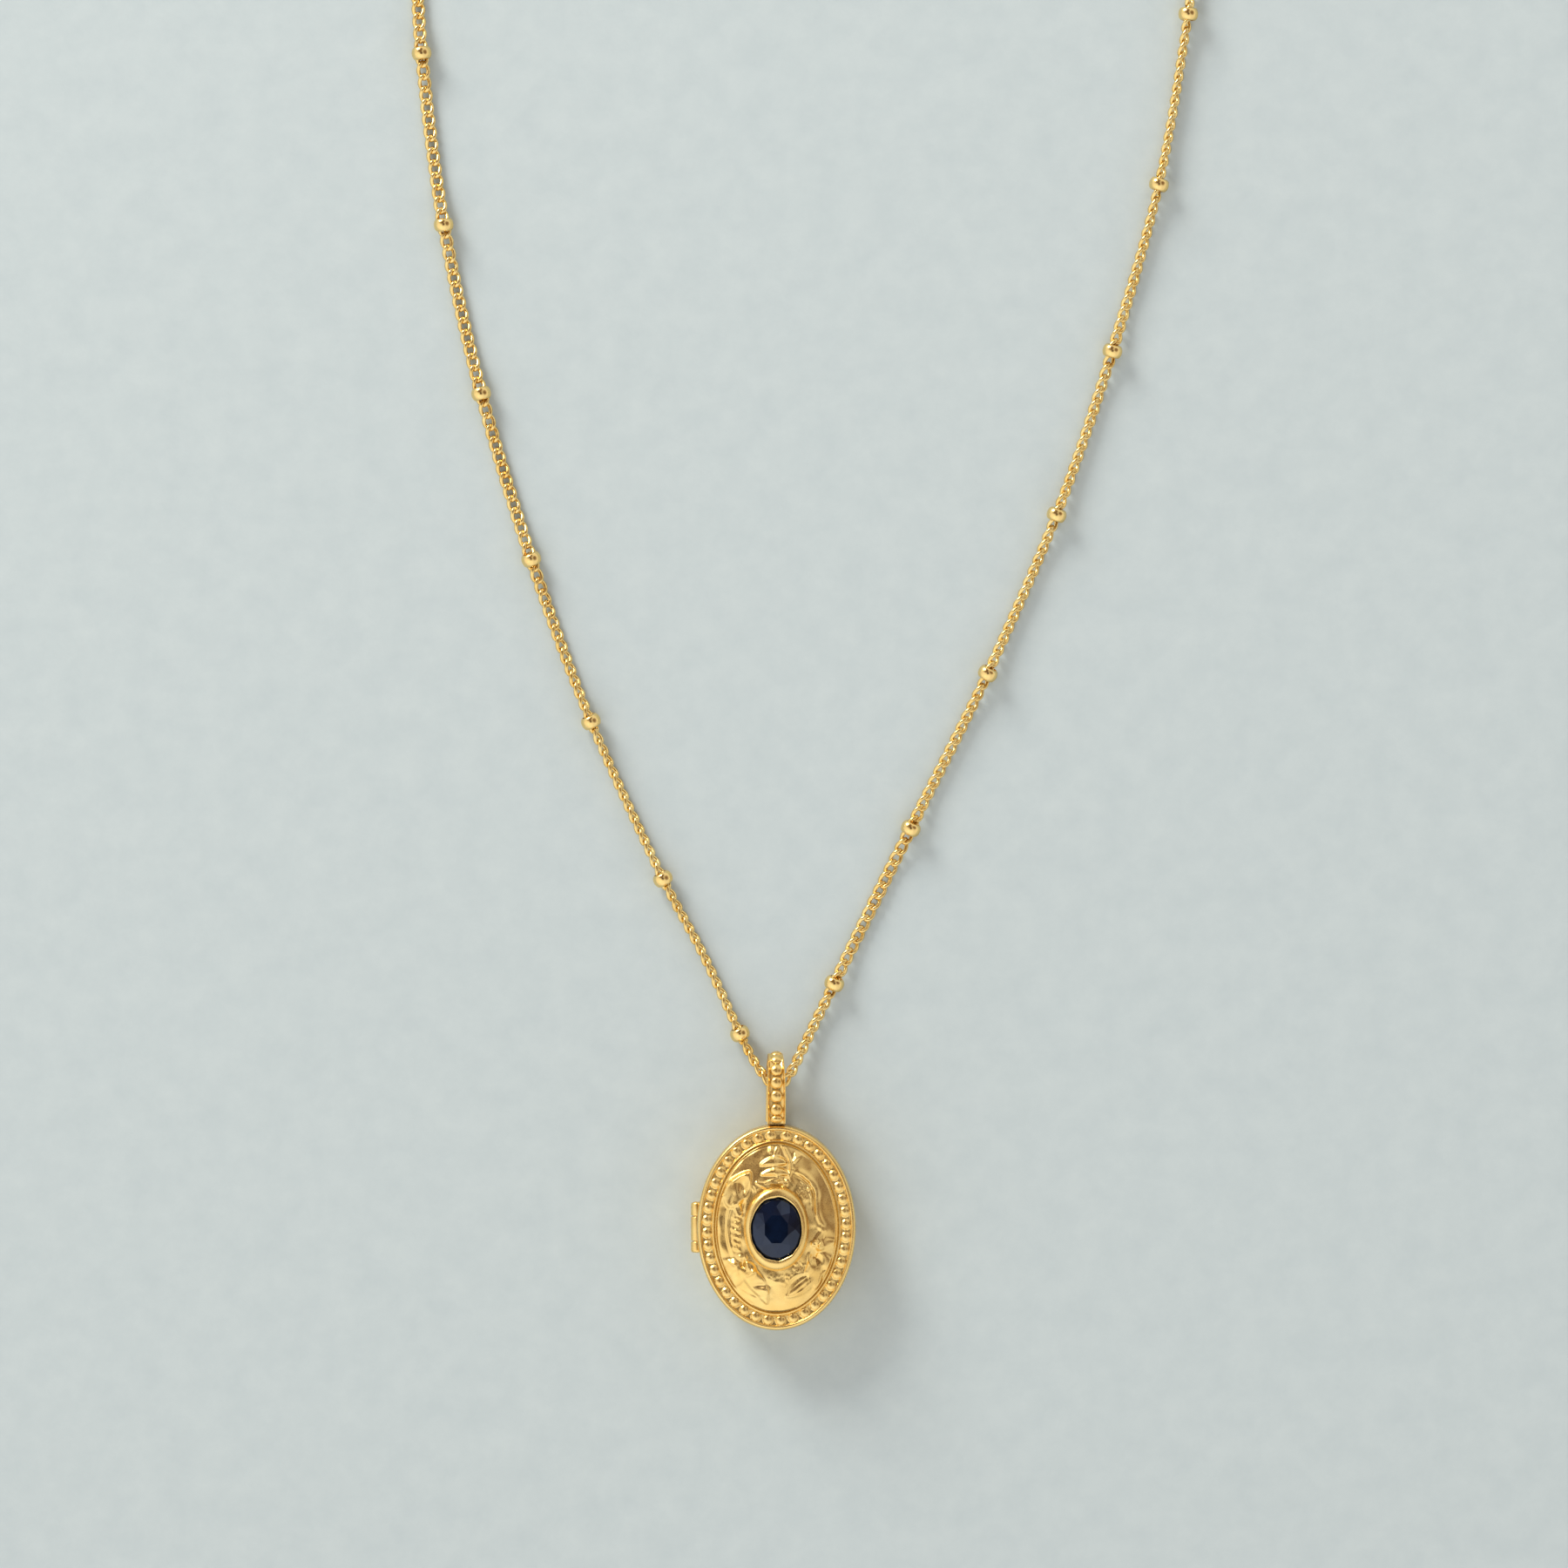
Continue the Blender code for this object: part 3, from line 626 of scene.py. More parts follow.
def oval_points(sections, count=OVAL_POINTS):
    """Points of oval sections (half width, half height, height), row by row, in millimetres."""
    turns = np.linspace(0.0, 2 * math.pi, count, endpoint=False)
    rows = np.array(sections, float)
    return np.stack(
        [
            rows[:, 0:1] * np.cos(turns),
            rows[:, 1:2] * np.sin(turns),
            np.repeat(rows[:, 2:3], count, axis=1),
        ],
        axis=-1,
    )


def densify(sections, step=0.12):
    """Adds sections between these ones, so that no band is taller or wider than the step."""
    rows = [np.array(sections[0], float)]
    for section in sections[1:]:
        start = rows[-1]
        end = np.array(section, float)
        parts = max(1, math.ceil(np.abs(end - start).max() / step))
        rows += [start + (end - start) * k / parts for k in range(1, parts + 1)]
    return rows


print("outline in mm:", 2 * HALF_WIDTH, "by", 2 * HALF_HEIGHT, "with", OVAL_POINTS, "points")

# %% [markdown]
# Where the hinge's barrels turn, both halves have a round notch in their edge. The points that
# would lie inside it are moved out to its wall, so no cut is needed.

# %% The hinge's notch and the lofted shell
HINGE_AT = np.array([-7.30, 2.45])
NOTCH_RADIUS = 0.65
NOTCH_SPAN = (-2.45, 2.35)


def carve_hinge(points):
    """Pushes the points that would touch the hinge's barrels out to the notch's round wall."""
    away = points[:, [0, 2]] - HINGE_AT
    reach = np.linalg.norm(away, axis=1)
    inside = (reach < NOTCH_RADIUS) & (points[:, 1] > NOTCH_SPAN[0]) & (points[:, 1] < NOTCH_SPAN[1])
    near_axis = inside & (reach < 1e-6)
    away[near_axis] = (1.0, 0.0)
    reach[near_axis] = 1.0
    away[:, 0] = np.where(inside, np.abs(away[:, 0]), away[:, 0])
    pushed = HINGE_AT + away / np.maximum(reach, 1e-9)[:, None] * NOTCH_RADIUS
    points[inside, 0] = pushed[inside, 0]
    points[inside, 2] = pushed[inside, 1]
    return points


def oval_shell(name, sections, closed, step=0.12, notch=False, capped=False):
    """A mesh lofted through oval sections."""
    rows = densify(sections, step)
    points = oval_points(rows).reshape(-1, 3)
    if notch:
        points = carve_hinge(points)
    faces = list(grid_faces(len(rows), OVAL_POINTS, wrap_rows=closed))
    if capped:
        faces.append(np.arange(OVAL_POINTS))
        faces.append(np.arange(OVAL_POINTS) + (len(rows) - 1) * OVAL_POINTS)
    return make_mesh(name, points * MM, faces)


print("notch radius in mm:", NOTCH_RADIUS, "from", NOTCH_SPAN[0], "to", NOTCH_SPAN[1])

# %% [markdown]
# ### Back shell, snap rim and picture fittings
#
# The back is a shallow dish with a softly rounded edge. Inside it stands a thin band that the lid
# snaps over.

# %% Make the back and its snap rim
BACK_SECTIONS = [
    inset(0.90, 0.0), inset(0.55, 0.07), inset(0.35, 0.20), inset(0.18, 0.42), inset(0.08, 0.70),
    inset(0.02, 1.00), inset(0.0, 1.30), inset(0.0, 2.32), inset(0.06, 2.40), inset(0.62, 2.40),
    inset(0.62, 0.95), inset(0.75, 0.72), inset(1.10, 0.60),
]
back = oval_shell("locket_back", BACK_SECTIONS, False, notch=True, capped=True)
add_piece("locket_back", back, satin_gold, "pendant", ["back_shell"])

SNAP_SECTIONS = [
    inset(0.71, 1.30), inset(0.71, 2.74), inset(0.76, 2.85), inset(0.86, 2.85), inset(0.91, 2.80),
    inset(0.91, 1.30),
]
snap = oval_shell("locket_snap_rim", SNAP_SECTIONS, True)
add_piece("locket_snap_rim", snap, satin_gold, "pendant", ["snap_rim"])
print("faces in the back and the snap rim:", len(back.polygons), len(snap.polygons))

# %% [markdown]
# In each half a pressed oval frame holds a clear sheet over a picture. Both halves use the same
# two shapes at their own heights: the window's foot, the frame's foot and the frame's outer inset
# are listed for each half.

# %% Windows and frames
FRAME_WIDTH = 0.75
FRAME_THICKNESS = 0.34
WINDOW_INSET = 1.12
WINDOW_THICKNESS = 0.28
SOFT_EDGE = 0.08
HALVES = [("back", "pendant", 1.36, 1.72, 1.00), ("front", "lid", 3.52, 3.10, 0.70)]
for half, body, window_z, frame_z, outer in HALVES:
    inner = outer + FRAME_WIDTH
    top = frame_z + FRAME_THICKNESS
    soft = SOFT_EDGE
    frame_sections = [
        inset(outer, frame_z + soft), inset(outer, top - soft), inset(outer + soft, top),
        inset(inner - soft, top), inset(inner, top - soft), inset(inner, frame_z + soft),
        inset(inner - soft, frame_z), inset(outer + soft, frame_z),
    ]
    ring = oval_shell("picture_frame_" + half, frame_sections, True)
    add_piece("picture_frame_" + half, ring, satin_gold, body, ["photo_frame_" + half])
    window_sections = [inset(WINDOW_INSET, window_z), inset(WINDOW_INSET, window_z + WINDOW_THICKNESS)]
    window = oval_shell("picture_window_" + half, window_sections, False, capped=True)
    add_piece(
        "picture_window_" + half, window, acetate, body, ["photo_window_" + half]
    )
    print(half, "frame inset from", outer, "to", round(inner, 2), "mm")

# %% [markdown]
# ## The lid's relief
#
# The lid is one casting: a bevelled rim, a channel with a row of round beads, a rounded fillet, a
# fine groove and ridge, and inside them a low dome covered with flowers. It could be carved by
# hand in sculpt mode. Here the relief is a height for each point of a fine oval grid, built up the
# way a wax carver works: strokes are laid on or cut in, and petals are laid over what is below.

# %% The grid of the lid's front
RIM_POINTS = 620
FIELD_EDGE = 1.70
FIELD_ROWS = 92
HOLE = (2.40, 3.10)
RIM_DEPTHS = np.concatenate(
    [np.array([0.0, 0.03, 0.08, 0.16, 0.25, 0.34, 0.40]), np.arange(0.44, FIELD_EDGE, 0.04)]
)

field_share = np.linspace(0.0, 1.0, FIELD_ROWS)
field_wide = (HALF_WIDTH - FIELD_EDGE) * (1 - field_share) + HOLE[0] * field_share
field_tall = (HALF_HEIGHT - FIELD_EDGE) * (1 - field_share) + HOLE[1] * field_share
front_wide = np.concatenate([HALF_WIDTH - RIM_DEPTHS, field_wide])
front_tall = np.concatenate([HALF_HEIGHT - RIM_DEPTHS, field_tall])
lid_sections = np.stack([front_wide, front_tall, np.zeros_like(front_wide)], axis=-1)
lid_grid = oval_points(lid_sections, RIM_POINTS)
X = lid_grid[:, :, 0].ravel()
Y = lid_grid[:, :, 1].ravel()
depth_rows = np.concatenate([RIM_DEPTHS, np.full(FIELD_ROWS, FIELD_EDGE)])
DEPTH = np.repeat(depth_rows, RIM_POINTS)
in_field = np.repeat(np.arange(len(depth_rows)) >= len(RIM_DEPTHS), RIM_POINTS)
print("points in the lid's front:", len(X))

# %% [markdown]
# ### Rim and dome
#
# Across the rim the height depends only on how far in a point lies. Over the dome it falls away
# from the stone, slowly at first and faster towards the rim.

# %% Heights of the rim and the dome
RIM_PROFILE = [
    (0.00, 4.28), (0.03, 4.40), (0.08, 4.49), (0.16, 4.57), (0.25, 4.61), (0.34, 4.61), (0.40, 4.56),
    (0.48, 4.45), (0.90, 4.42), (1.28, 4.46), (1.36, 4.60), (1.44, 4.68), (1.52, 4.69), (1.57, 4.62),
    (1.61, 4.57), (1.65, 4.62), (1.70, 4.68),
]
DOME_HEIGHT = 5.50
DOME_FALL = 1.766
DOME_POWER = 3.55


def soft_step(low, high, value):
    """Rises smoothly from 0 at low to 1 at high."""
    share = np.clip((value - low) / (high - low), 0.0, 1.0)
    return share * share * (3 - 2 * share)


rim_depth, rim_height = np.array(RIM_PROFILE).T
rim = np.interp(DEPTH, rim_depth, rim_height)
spread = np.sqrt((X / HALF_WIDTH) ** 2 + (Y / HALF_HEIGHT) ** 2)
dome = DOME_HEIGHT - DOME_FALL * spread**DOME_POWER
field_run = np.repeat(np.concatenate([np.zeros(len(RIM_DEPTHS)), field_share]), RIM_POINTS)
ridge_foot = soft_step(0.0, 0.06, field_run)
base_height = np.where(in_field, rim_height[-1] + (dome - rim_height[-1]) * ridge_foot, rim)
relief = np.zeros_like(X)
print("front between", round(float(base_height.min()), 2), "and", round(float(base_height.max()), 2))

# %% [markdown]
# ### The carver's tools
#
# Four tools make the whole wreath. A stroke is a soft ridge along a curve, or a groove where its
# height is negative. A petal is a pointed oval with a hollow or a full middle and a raised edge. A
# stipple is a patch of small dots, which gives the flowers' hearts their grain. The last one sinks
# a smooth hollow. The strokes are made with a blunt tool, which spreads them beyond their width.

# %% Strokes, petals and stipple
TOOL_SPREAD = 1.3


def stroke(corners, width, height, fade=0.22):
    """A ridge or groove along a smooth curve through these points, thinning out at its ends."""
    flat = [(x, y, 0.0) for x, y in corners]
    fine, run = smooth_curve(flat, steps=14)
    width = width * TOOL_SPREAD
    room = 3.0 * width
    low = fine.min(axis=0) - room
    high = fine.max(axis=0) + room
    near = np.flatnonzero((X > low[0]) & (X < high[0]) & (Y > low[1]) & (Y < high[1]))
    gap = np.hypot(X[near, None] - fine[None, :, 0], Y[near, None] - fine[None, :, 1])
    closest = gap.argmin(axis=1)
    distance = gap[np.arange(len(near)), closest]
    share = run[closest] / run[-1]
    thin = soft_step(0.0, fade, share) * soft_step(0.0, fade, 1 - share)
    relief[near] += height * (0.25 + 0.75 * thin) * np.exp(-((distance / width) ** 2))


def petal(base, tip, width, lift, bend=0.0, hollow=0.06, edge=0.04):
    """Lays a petal over what is there. Bend curves its middle line and hollow sinks its middle."""
    bx, by = base
    length = math.hypot(tip[0] - bx, tip[1] - by)
    ux = (tip[0] - bx) / length
    uy = (tip[1] - by) / length
    s = ((X - bx) * ux + (Y - by) * uy) / length
    inside = np.clip(s, 0.0, 1.0)
    t = (Y - by) * ux - (X - bx) * uy - bend * length * 4 * inside * (1 - inside)
    half = width / 2 * np.sin(math.pi * inside**0.75) ** 0.6 + 1e-4
    u = np.abs(t) / half
    mask = (1 - soft_step(0.74, 1.10, u)) * (s > 0) * (s < 1)
    body = lift - hollow * np.clip(1 - u * u, 0, 1)
    body += edge * np.exp(-(((u - 0.84) / 0.12) ** 2))
    relief[:] = relief * (1 - mask) + (0.3 * relief + body) * mask


def stipple(centre, size, count, seed, radius=0.11, height=0.09):
    """Scatters small round dots over an oval patch."""
    dice = np.random.default_rng(seed)
    for _ in range(count):
        turn = dice.uniform(0, 2 * math.pi)
        reach = math.sqrt(dice.uniform(0, 1))
        x = centre[0] + size[0] * reach * math.cos(turn)
        y = centre[1] + size[1] * reach * math.sin(turn)
        near = np.flatnonzero((np.abs(X - x) < 3 * radius) & (np.abs(Y - y) < 3 * radius))
        gap = np.hypot(X[near] - x, Y[near] - y)
        relief[near] += height * dice.uniform(0.5, 1.0) * np.exp(-((gap / radius) ** 2))


def hollow_out(centre, size, depth):
    """Sinks a smooth oval hollow."""
    away = ((X - centre[0]) / size[0]) ** 2 + ((Y - centre[1]) / size[1]) ** 2
    relief[:] -= depth * np.exp(-away)


print("strokes are spread by", TOOL_SPREAD)

# %% [markdown]
# ### The wreath
#
# The flowers stand clockwise from the top: a lily bell with open petals, a long bare stem down the
# right, an open flower at the lower right, leaves along the bottom, a big lily at the lower left,
# a pair of stems up the left side, and a closed bud at the upper left.

# %% Ground and left side
dice = np.random.default_rng(3)
for _ in range(170):
    turn = dice.uniform(0, 2 * math.pi)
    reach = math.sqrt(dice.uniform(0.22, 1.0))
    spot = (5.5 * reach * math.cos(turn), 7.6 * reach * math.sin(turn))
    dent = -0.045 * dice.uniform(0.3, 1.0)
    stipple(spot, (0.01, 0.01), 1, 1, radius=dice.uniform(0.18, 0.34), height=dent)
stipple((2.65, 3.55), (0.75, 1.05), 130, 11, radius=0.07, height=0.055)
stipple((-3.75, -0.30), (0.42, 1.7), 110, 12, radius=0.07, height=0.06)
stipple((-1.9, 3.95), (0.5, 0.55), 45, 14, radius=0.07, height=0.05)
stipple((0.7, -4.65), (1.6, 0.45), 90, 18, radius=0.08, height=0.035)
stipple((2.1, -3.5), (0.6, 0.5), 40, 13, radius=0.08, height=0.05)
hollow_out((2.15, -3.45), (0.55, 0.50), 0.12)

# left stems
stroke([(-4.9, 3.0), (-5.25, 1.7), (-5.35, 0.1), (-5.20, -1.5), (-4.85, -2.8)], 0.30, 0.14)
stroke([(-4.30, 2.5), (-4.66, 1.2), (-4.74, 0.0), (-4.60, -1.3), (-4.25, -2.5)], 0.10, -0.06)
stroke([(-4.05, 2.4), (-4.42, 1.2), (-4.50, 0.0), (-4.36, -1.3), (-4.05, -2.3)], 0.12, 0.10)
for y in (0.9, 0.35, -0.2, -0.75, -1.3, -1.85):
    stroke([(-4.05, y + 0.12), (-3.65, y - 0.03), (-3.30, y - 0.22)], 0.08, 0.08)
petal((-3.3, 1.1), (-4.0, 2.4), 0.70, 0.14, bend=-0.10)
stroke([(-3.02, 2.6), (-3.14, 1.9), (-3.10, 1.3)], 0.13, -0.20)

# closed bud, upper left
petal((-5.4, 2.1), (-3.2, 3.9), 1.5, 0.08, bend=0.10, hollow=-0.05, edge=0.0)
petal((-4.5, 2.0), (-2.35, 5.20), 2.1, 0.16, bend=0.04, hollow=-0.10, edge=0.0)
hollow_out((-3.05, 3.75), (0.42, 0.72), 0.40)
stroke([(-4.36, 4.06), (-3.40, 4.66), (-2.55, 5.04)], 0.17, 0.17)
stroke([(-2.46, 4.95), (-2.42, 3.9), (-2.70, 3.05), (-3.15, 2.5)], 0.11, 0.14)
stroke([(-5.35, 2.70), (-4.80, 3.02)], 0.12, 0.14)
stroke([(-4.35, 2.3), (-4.05, 2.9), (-3.75, 3.3)], 0.12, -0.08)

# lily bell, top
petal((1.1, 4.15), (-1.95, 4.25), 0.75, 0.15, bend=0.10, hollow=0.03, edge=0.03)
petal((0.70, 4.45), (0.28, 7.72), 1.80, 0.20, bend=-0.02, hollow=0.40, edge=0.03)
stroke([(0.62, 7.45), (1.11, 6.60), (1.33, 5.83), (1.25, 4.75), (1.6, 3.98)], 0.08, 0.10)
stroke([(0.80, 7.45), (1.28, 6.60), (1.50, 5.83), (1.44, 4.95)], 0.08, -0.08)
stroke([(-0.53, 7.62), (-0.50, 7.2), (-0.55, 6.80)], 0.10, 0.17)
stroke([(0.33, 7.75), (0.22, 7.4), (0.12, 7.02)], 0.10, 0.17)
petal((0.95, 6.05), (-1.50, 5.80), 0.95, 0.05, bend=-0.10, hollow=-0.16, edge=0.0)
petal((1.15, 5.00), (-1.45, 4.90), 0.80, 0.03, bend=-0.10, hollow=-0.15, edge=0.0)
stroke([(1.44, 6.00), (1.80, 6.30), (2.22, 6.72)], 0.08, 0.17)
stroke([(1.74, 6.24), (1.78, 6.60), (1.76, 7.00)], 0.07, 0.14)
stroke([(1.52, 5.55), (1.55, 5.2)], 0.12, 0.10)
stroke([(-1.31, 4.06), (-0.5, 4.38), (0.25, 4.5), (1.1, 4.76)], 0.08, 0.12)
stroke([(-0.12, 4.22), (0.5, 4.42), (1.07, 4.60)], 0.07, -0.10)
stroke([(-0.7, 3.92), (0.0, 3.86), (0.7, 3.92)], 0.16, -0.20)

print("after the left side and the top:", round(float(relief.max()), 2), "mm at most")

# %% [markdown]
# The right side is mostly bare, with one long stem. At the lower right stands an open flower, and
# two leaves lie along the bottom.

# %% Right side and bottom
stroke([(1.55, 5.30), (2.20, 5.12), (2.80, 4.72), (3.45, 3.98), (3.72, 3.2), (3.76, 1.9), (3.88, 1.15),
        (4.45, -0.10)], 0.22, 0.17, fade=0.08)
stroke([(1.75, 4.95), (2.50, 4.50), (3.10, 3.85), (3.40, 3.1), (3.44, 1.9), (3.55, 1.1)], 0.09, -0.16)
stroke([(1.75, 4.75), (2.40, 4.32), (2.92, 3.75), (3.20, 3.0), (3.24, 1.9)], 0.09, 0.09)
stroke([(3.85, 0.15), (4.20, -0.10), (4.52, -0.38)], 0.12, 0.15)

# open flower, lower right
petal((3.4, -1.6), (4.30, 0.0), 0.85, 0.08, bend=-0.1, hollow=-0.05, edge=0.0)
petal((3.7, -1.9), (5.60, -1.25), 0.95, 0.09, bend=0.08, hollow=-0.07, edge=0.0)
petal((3.7, -2.4), (5.40, -3.50), 1.35, 0.10, bend=-0.08, hollow=-0.08, edge=0.0)
petal((3.7, -2.8), (4.02, -6.0), 1.45, 0.11, bend=-0.10, hollow=-0.10, edge=0.0)
petal((3.5, -2.7), (2.55, -4.4), 0.95, 0.10, bend=0.08, hollow=-0.06, edge=0.0)
hollow_out((3.62, -2.78), (0.50, 0.62), 0.52)
stipple((3.75, -1.45), (0.50, 0.38), 24, 15, radius=0.10, height=0.14)
stroke([(3.95, -2.05), (4.15, -1.83), (4.35, -1.62)], 0.12, 0.18)
stroke([(5.50, -1.25), (5.62, -1.42)], 0.10, 0.10)
stroke([(5.15, -3.2), (4.82, -3.74), (4.12, -4.4), (3.85, -5.7)], 0.09, 0.10)
stroke([(3.10, -2.1), (2.98, -2.8), (3.15, -3.5)], 0.10, 0.12)

# leaves along the bottom
petal((3.5, -4.5), (0.85, -6.35), 1.05, 0.10, bend=0.08, hollow=-0.06, edge=0.0)
petal((2.85, -4.25), (0.95, -6.20), 0.85, 0.13, bend=-0.16, hollow=0.20, edge=0.0)
stroke([(3.39, -4.85), (2.5, -5.6), (1.65, -6.1)], 0.08, 0.10)
stroke([(2.65, -5.3), (1.8, -5.95), (0.92, -6.3)], 0.07, -0.09)

print("with the right side and the bottom:", round(float(relief.max()), 2), "mm at most")

# %% [markdown]
# The big lily opens away from the stone: six petals, two of them laid over the others, stamens
# with round ends, and a few fine scratches along its longest petal.

# %% Big lily, lower left
petal((-3.2, -3.3), (-5.35, -2.9), 1.0, 0.08, bend=0.08, hollow=-0.05, edge=0.0)
petal((-3.3, -3.3), (-4.98, -4.50), 1.25, 0.10, bend=-0.06, hollow=-0.08, edge=0.0)
petal((-3.2, -3.5), (-4.24, -5.55), 1.40, 0.12, bend=0.05, hollow=-0.08, edge=0.0)
petal((-3.2, -3.9), (-0.83, -7.00), 1.55, 0.13, bend=0.10, hollow=-0.08, edge=0.0)
petal((-3.3, -3.7), (-0.70, -6.05), 1.35, 0.15, bend=0.06, hollow=-0.06, edge=0.0)
petal((-3.0, -3.2), (-1.85, -4.05), 0.80, 0.16, bend=0.06, hollow=-0.04, edge=0.0)
hollow_out((-1.35, -5.25), (0.70, 0.26), 0.26)
hollow_out((-3.05, -3.30), (0.35, 0.40), 0.20)
stroke([(-4.49, -2.96), (-4.1, -3.20), (-3.71, -3.53)], 0.11, 0.16)
stroke([(-3.95, -2.80), (-3.85, -3.15), (-3.75, -3.40)], 0.09, 0.12)
stroke([(-2.89, -2.42), (-2.75, -3.1), (-2.52, -3.9)], 0.11, 0.16)
stroke([(-2.85, -4.44), (-2.40, -4.22), (-1.90, -3.99)], 0.12, 0.18)
stipple((-3.32, -2.68), (0.02, 0.02), 1, 16, radius=0.26, height=0.36)
stipple((-2.19, -3.93), (0.02, 0.02), 1, 17, radius=0.18, height=0.25)
for lean in (0.0, 0.42, 0.84):
    high = -5.15 - lean / 4
    stroke([(-3.75 + lean, high), (-2.6 + lean, high - 0.8), (-1.5 + lean, -6.45)], 0.05, -0.05)
print("relief from", round(float(relief.min()), 2), "to", round(float(relief.max()), 2), "mm")

# %% [markdown]
# ### Hammer marks and the row of beads
#
# The bare field between the flowers keeps the soft waves of the wax it was cast from. The rim's
# beads are half balls of one size with their feet in the channel, spaced evenly by distance along
# it.

# %% Finish the lid's front
RELIEF_DEPTH = 0.95
TUMBLING = 4
WAVE = 0.04
BEAD_LINE = 0.90
RIM_BEADS = 40
RIM_BEAD_PITCH = 1.172
FIRST_RIM_BEAD = 0.91
RIM_BEAD_RADIUS = 0.49
RIM_BEAD_FOOT = 4.38
RIM_BEAD_LIFT = 0.28


def bead_row():
    """The beads' middles, evenly spaced by distance clockwise from the gap under the bail."""
    turns = np.linspace(math.pi / 2, -3 * math.pi / 2, 2881)
    x = (HALF_WIDTH - BEAD_LINE) * np.cos(turns)
    y = (HALF_HEIGHT - BEAD_LINE) * np.sin(turns)
    run = np.concatenate([[0.0], np.cumsum(np.hypot(np.diff(x), np.diff(y)))])
    marks = FIRST_RIM_BEAD + RIM_BEAD_PITCH * np.arange(RIM_BEADS)
    return np.stack([np.interp(marks, run, x), np.interp(marks, run, y)], axis=-1)


def tumble(heights, rounds):
    """Rounds all edges of the relief by averaging each point with its neighbours."""
    grid = heights.reshape(-1, RIM_POINTS)
    for _ in range(rounds):
        grid = (np.roll(grid, 1, axis=1) + 2 * grid + np.roll(grid, -1, axis=1)) / 4
        above = np.vstack([grid[:1], grid[:-1]])
        below = np.vstack([grid[1:], grid[-1:]])
        grid = (above + 2 * grid + below) / 4
    return grid.ravel()


relief = tumble(relief, TUMBLING)
waves = WAVE * np.sin(X * 2.1 + 1.3 * np.sin(Y * 1.4)) * np.sin(Y * 1.8 + 0.7 * np.sin(X * 2.3))
edge_fade = RELIEF_DEPTH * soft_step(0.0, 0.08, field_run)
height = base_height + np.where(in_field, (relief + waves) * edge_fade, 0.0)
rim_bead_centres = bead_row()
for bx, by in rim_bead_centres:
    near = np.flatnonzero((np.abs(X - bx) < 0.6) & (np.abs(Y - by) < 0.6))
    gap = np.hypot(X[near] - bx, Y[near] - by) / RIM_BEAD_RADIUS
    ball = RIM_BEAD_FOOT + RIM_BEAD_LIFT * np.sqrt(np.clip(1 - gap**2, 0.0, 1.0))
    height[near] = np.where(gap < 1.0, np.maximum(height[near], ball), height[near])
print("rim beads:", len(rim_bead_centres), "front's highest point in mm:", round(float(height.max()), 2))

# %% [markdown]
# The front is one skin. The wall under it and the inside are plain ovals, so they are added as
# further rows of the same grid, and the whole closes into one solid casting.

# %% Close the lid and make it
INSIDE_SECTIONS = [
    (HOLE[0], HOLE[1], 4.95), (4.00, 5.40, 4.78), (5.40, 7.53, 4.15), inset(0.75, 4.00),
    inset(0.62, 3.90), inset(0.62, 2.55), inset(0.57, 2.50), inset(0.05, 2.50), inset(0.0, 2.55),
]
front = np.stack([X, Y, height], axis=-1).reshape(-1, RIM_POINTS, 3)
wall_rows = densify([*INSIDE_SECTIONS, inset(0.0, 4.20)], 0.40)
inside = oval_points(wall_rows, RIM_POINTS)
lid_points = np.concatenate([front, inside]).reshape(-1, 3)
lid_points = carve_hinge(lid_points)
lid_rows = len(front) + len(inside)
lid_mesh = make_mesh("locket_lid", lid_points * MM, grid_faces(lid_rows, RIM_POINTS, True), 50.0)
add_piece("locket_lid", lid_mesh, satin_gold, "lid", ["front_cover"])
print("faces in the lid:", len(lid_mesh.polygons))

# %% [markdown]
# ## The collar
#
# The stone sits in a plain tapering collar whose top edge was pushed over it with a steel tool.
# Each push leaves a small flat, so the inner edge isn't a clean oval.

# %% Collar
COLLAR_POINTS = 288
COLLAR_SECTIONS = [
    (3.02, 3.93, 5.38), (2.95, 3.86, 5.60), (2.93, 3.84, 5.85), (2.90, 3.80, 6.10), (2.83, 3.71, 6.32),
    (2.72, 3.54, 6.47), (2.58, 3.32, 6.56), (2.43, 3.07, 6.61), (2.36, 2.94, 6.58), (2.33, 2.88, 6.50),
    (2.40, 2.94, 6.36), (2.56, 3.06, 6.28), (2.56, 3.06, 5.90), (2.20, 2.70, 5.47),
]
PUSHES = 34
PUSH_DEPTH = 0.045
PUSHED_ROWS = {7: 0.4, 8: 1.0, 9: 1.0, 10: 0.5}


def pushed_collar():
    """The collar's points, with its inner lip moved in and out by the setting tool's pushes."""
    points = oval_points(COLLAR_SECTIONS, COLLAR_POINTS)
    turns = np.linspace(0.0, 2 * math.pi, COLLAR_POINTS, endpoint=False)
    dice = np.random.default_rng(5)
    marks = dice.uniform(-1.0, 1.0, PUSHES)
    uneven = np.interp(turns / (2 * math.pi) * PUSHES, np.arange(PUSHES + 1), [*marks, marks[0]])
    for row, weight in PUSHED_ROWS.items():
        shrink = 1 - PUSH_DEPTH * weight * uneven / 2.6
        points[row, :, 0] *= shrink
        points[row, :, 1] *= shrink
    return points.reshape(-1, 3) * MM


collar_faces = grid_faces(len(COLLAR_SECTIONS), COLLAR_POINTS, wrap_rows=True)
collar = make_mesh("stone_collar", pushed_collar(), collar_faces, 60.0)
add_piece("stone_collar", collar, satin_gold, "lid", ["stone_bezel"])
print("pushes round the collar:", PUSHES)

# %% [markdown]
# ## The stone
#
# The stone is an oval brilliant. Its corners are placed on a few ovals, from the table at the top
# to the point below, and the hull round them makes the flat facets, the way a cutter's flat wheel
# leaves nothing but planes.

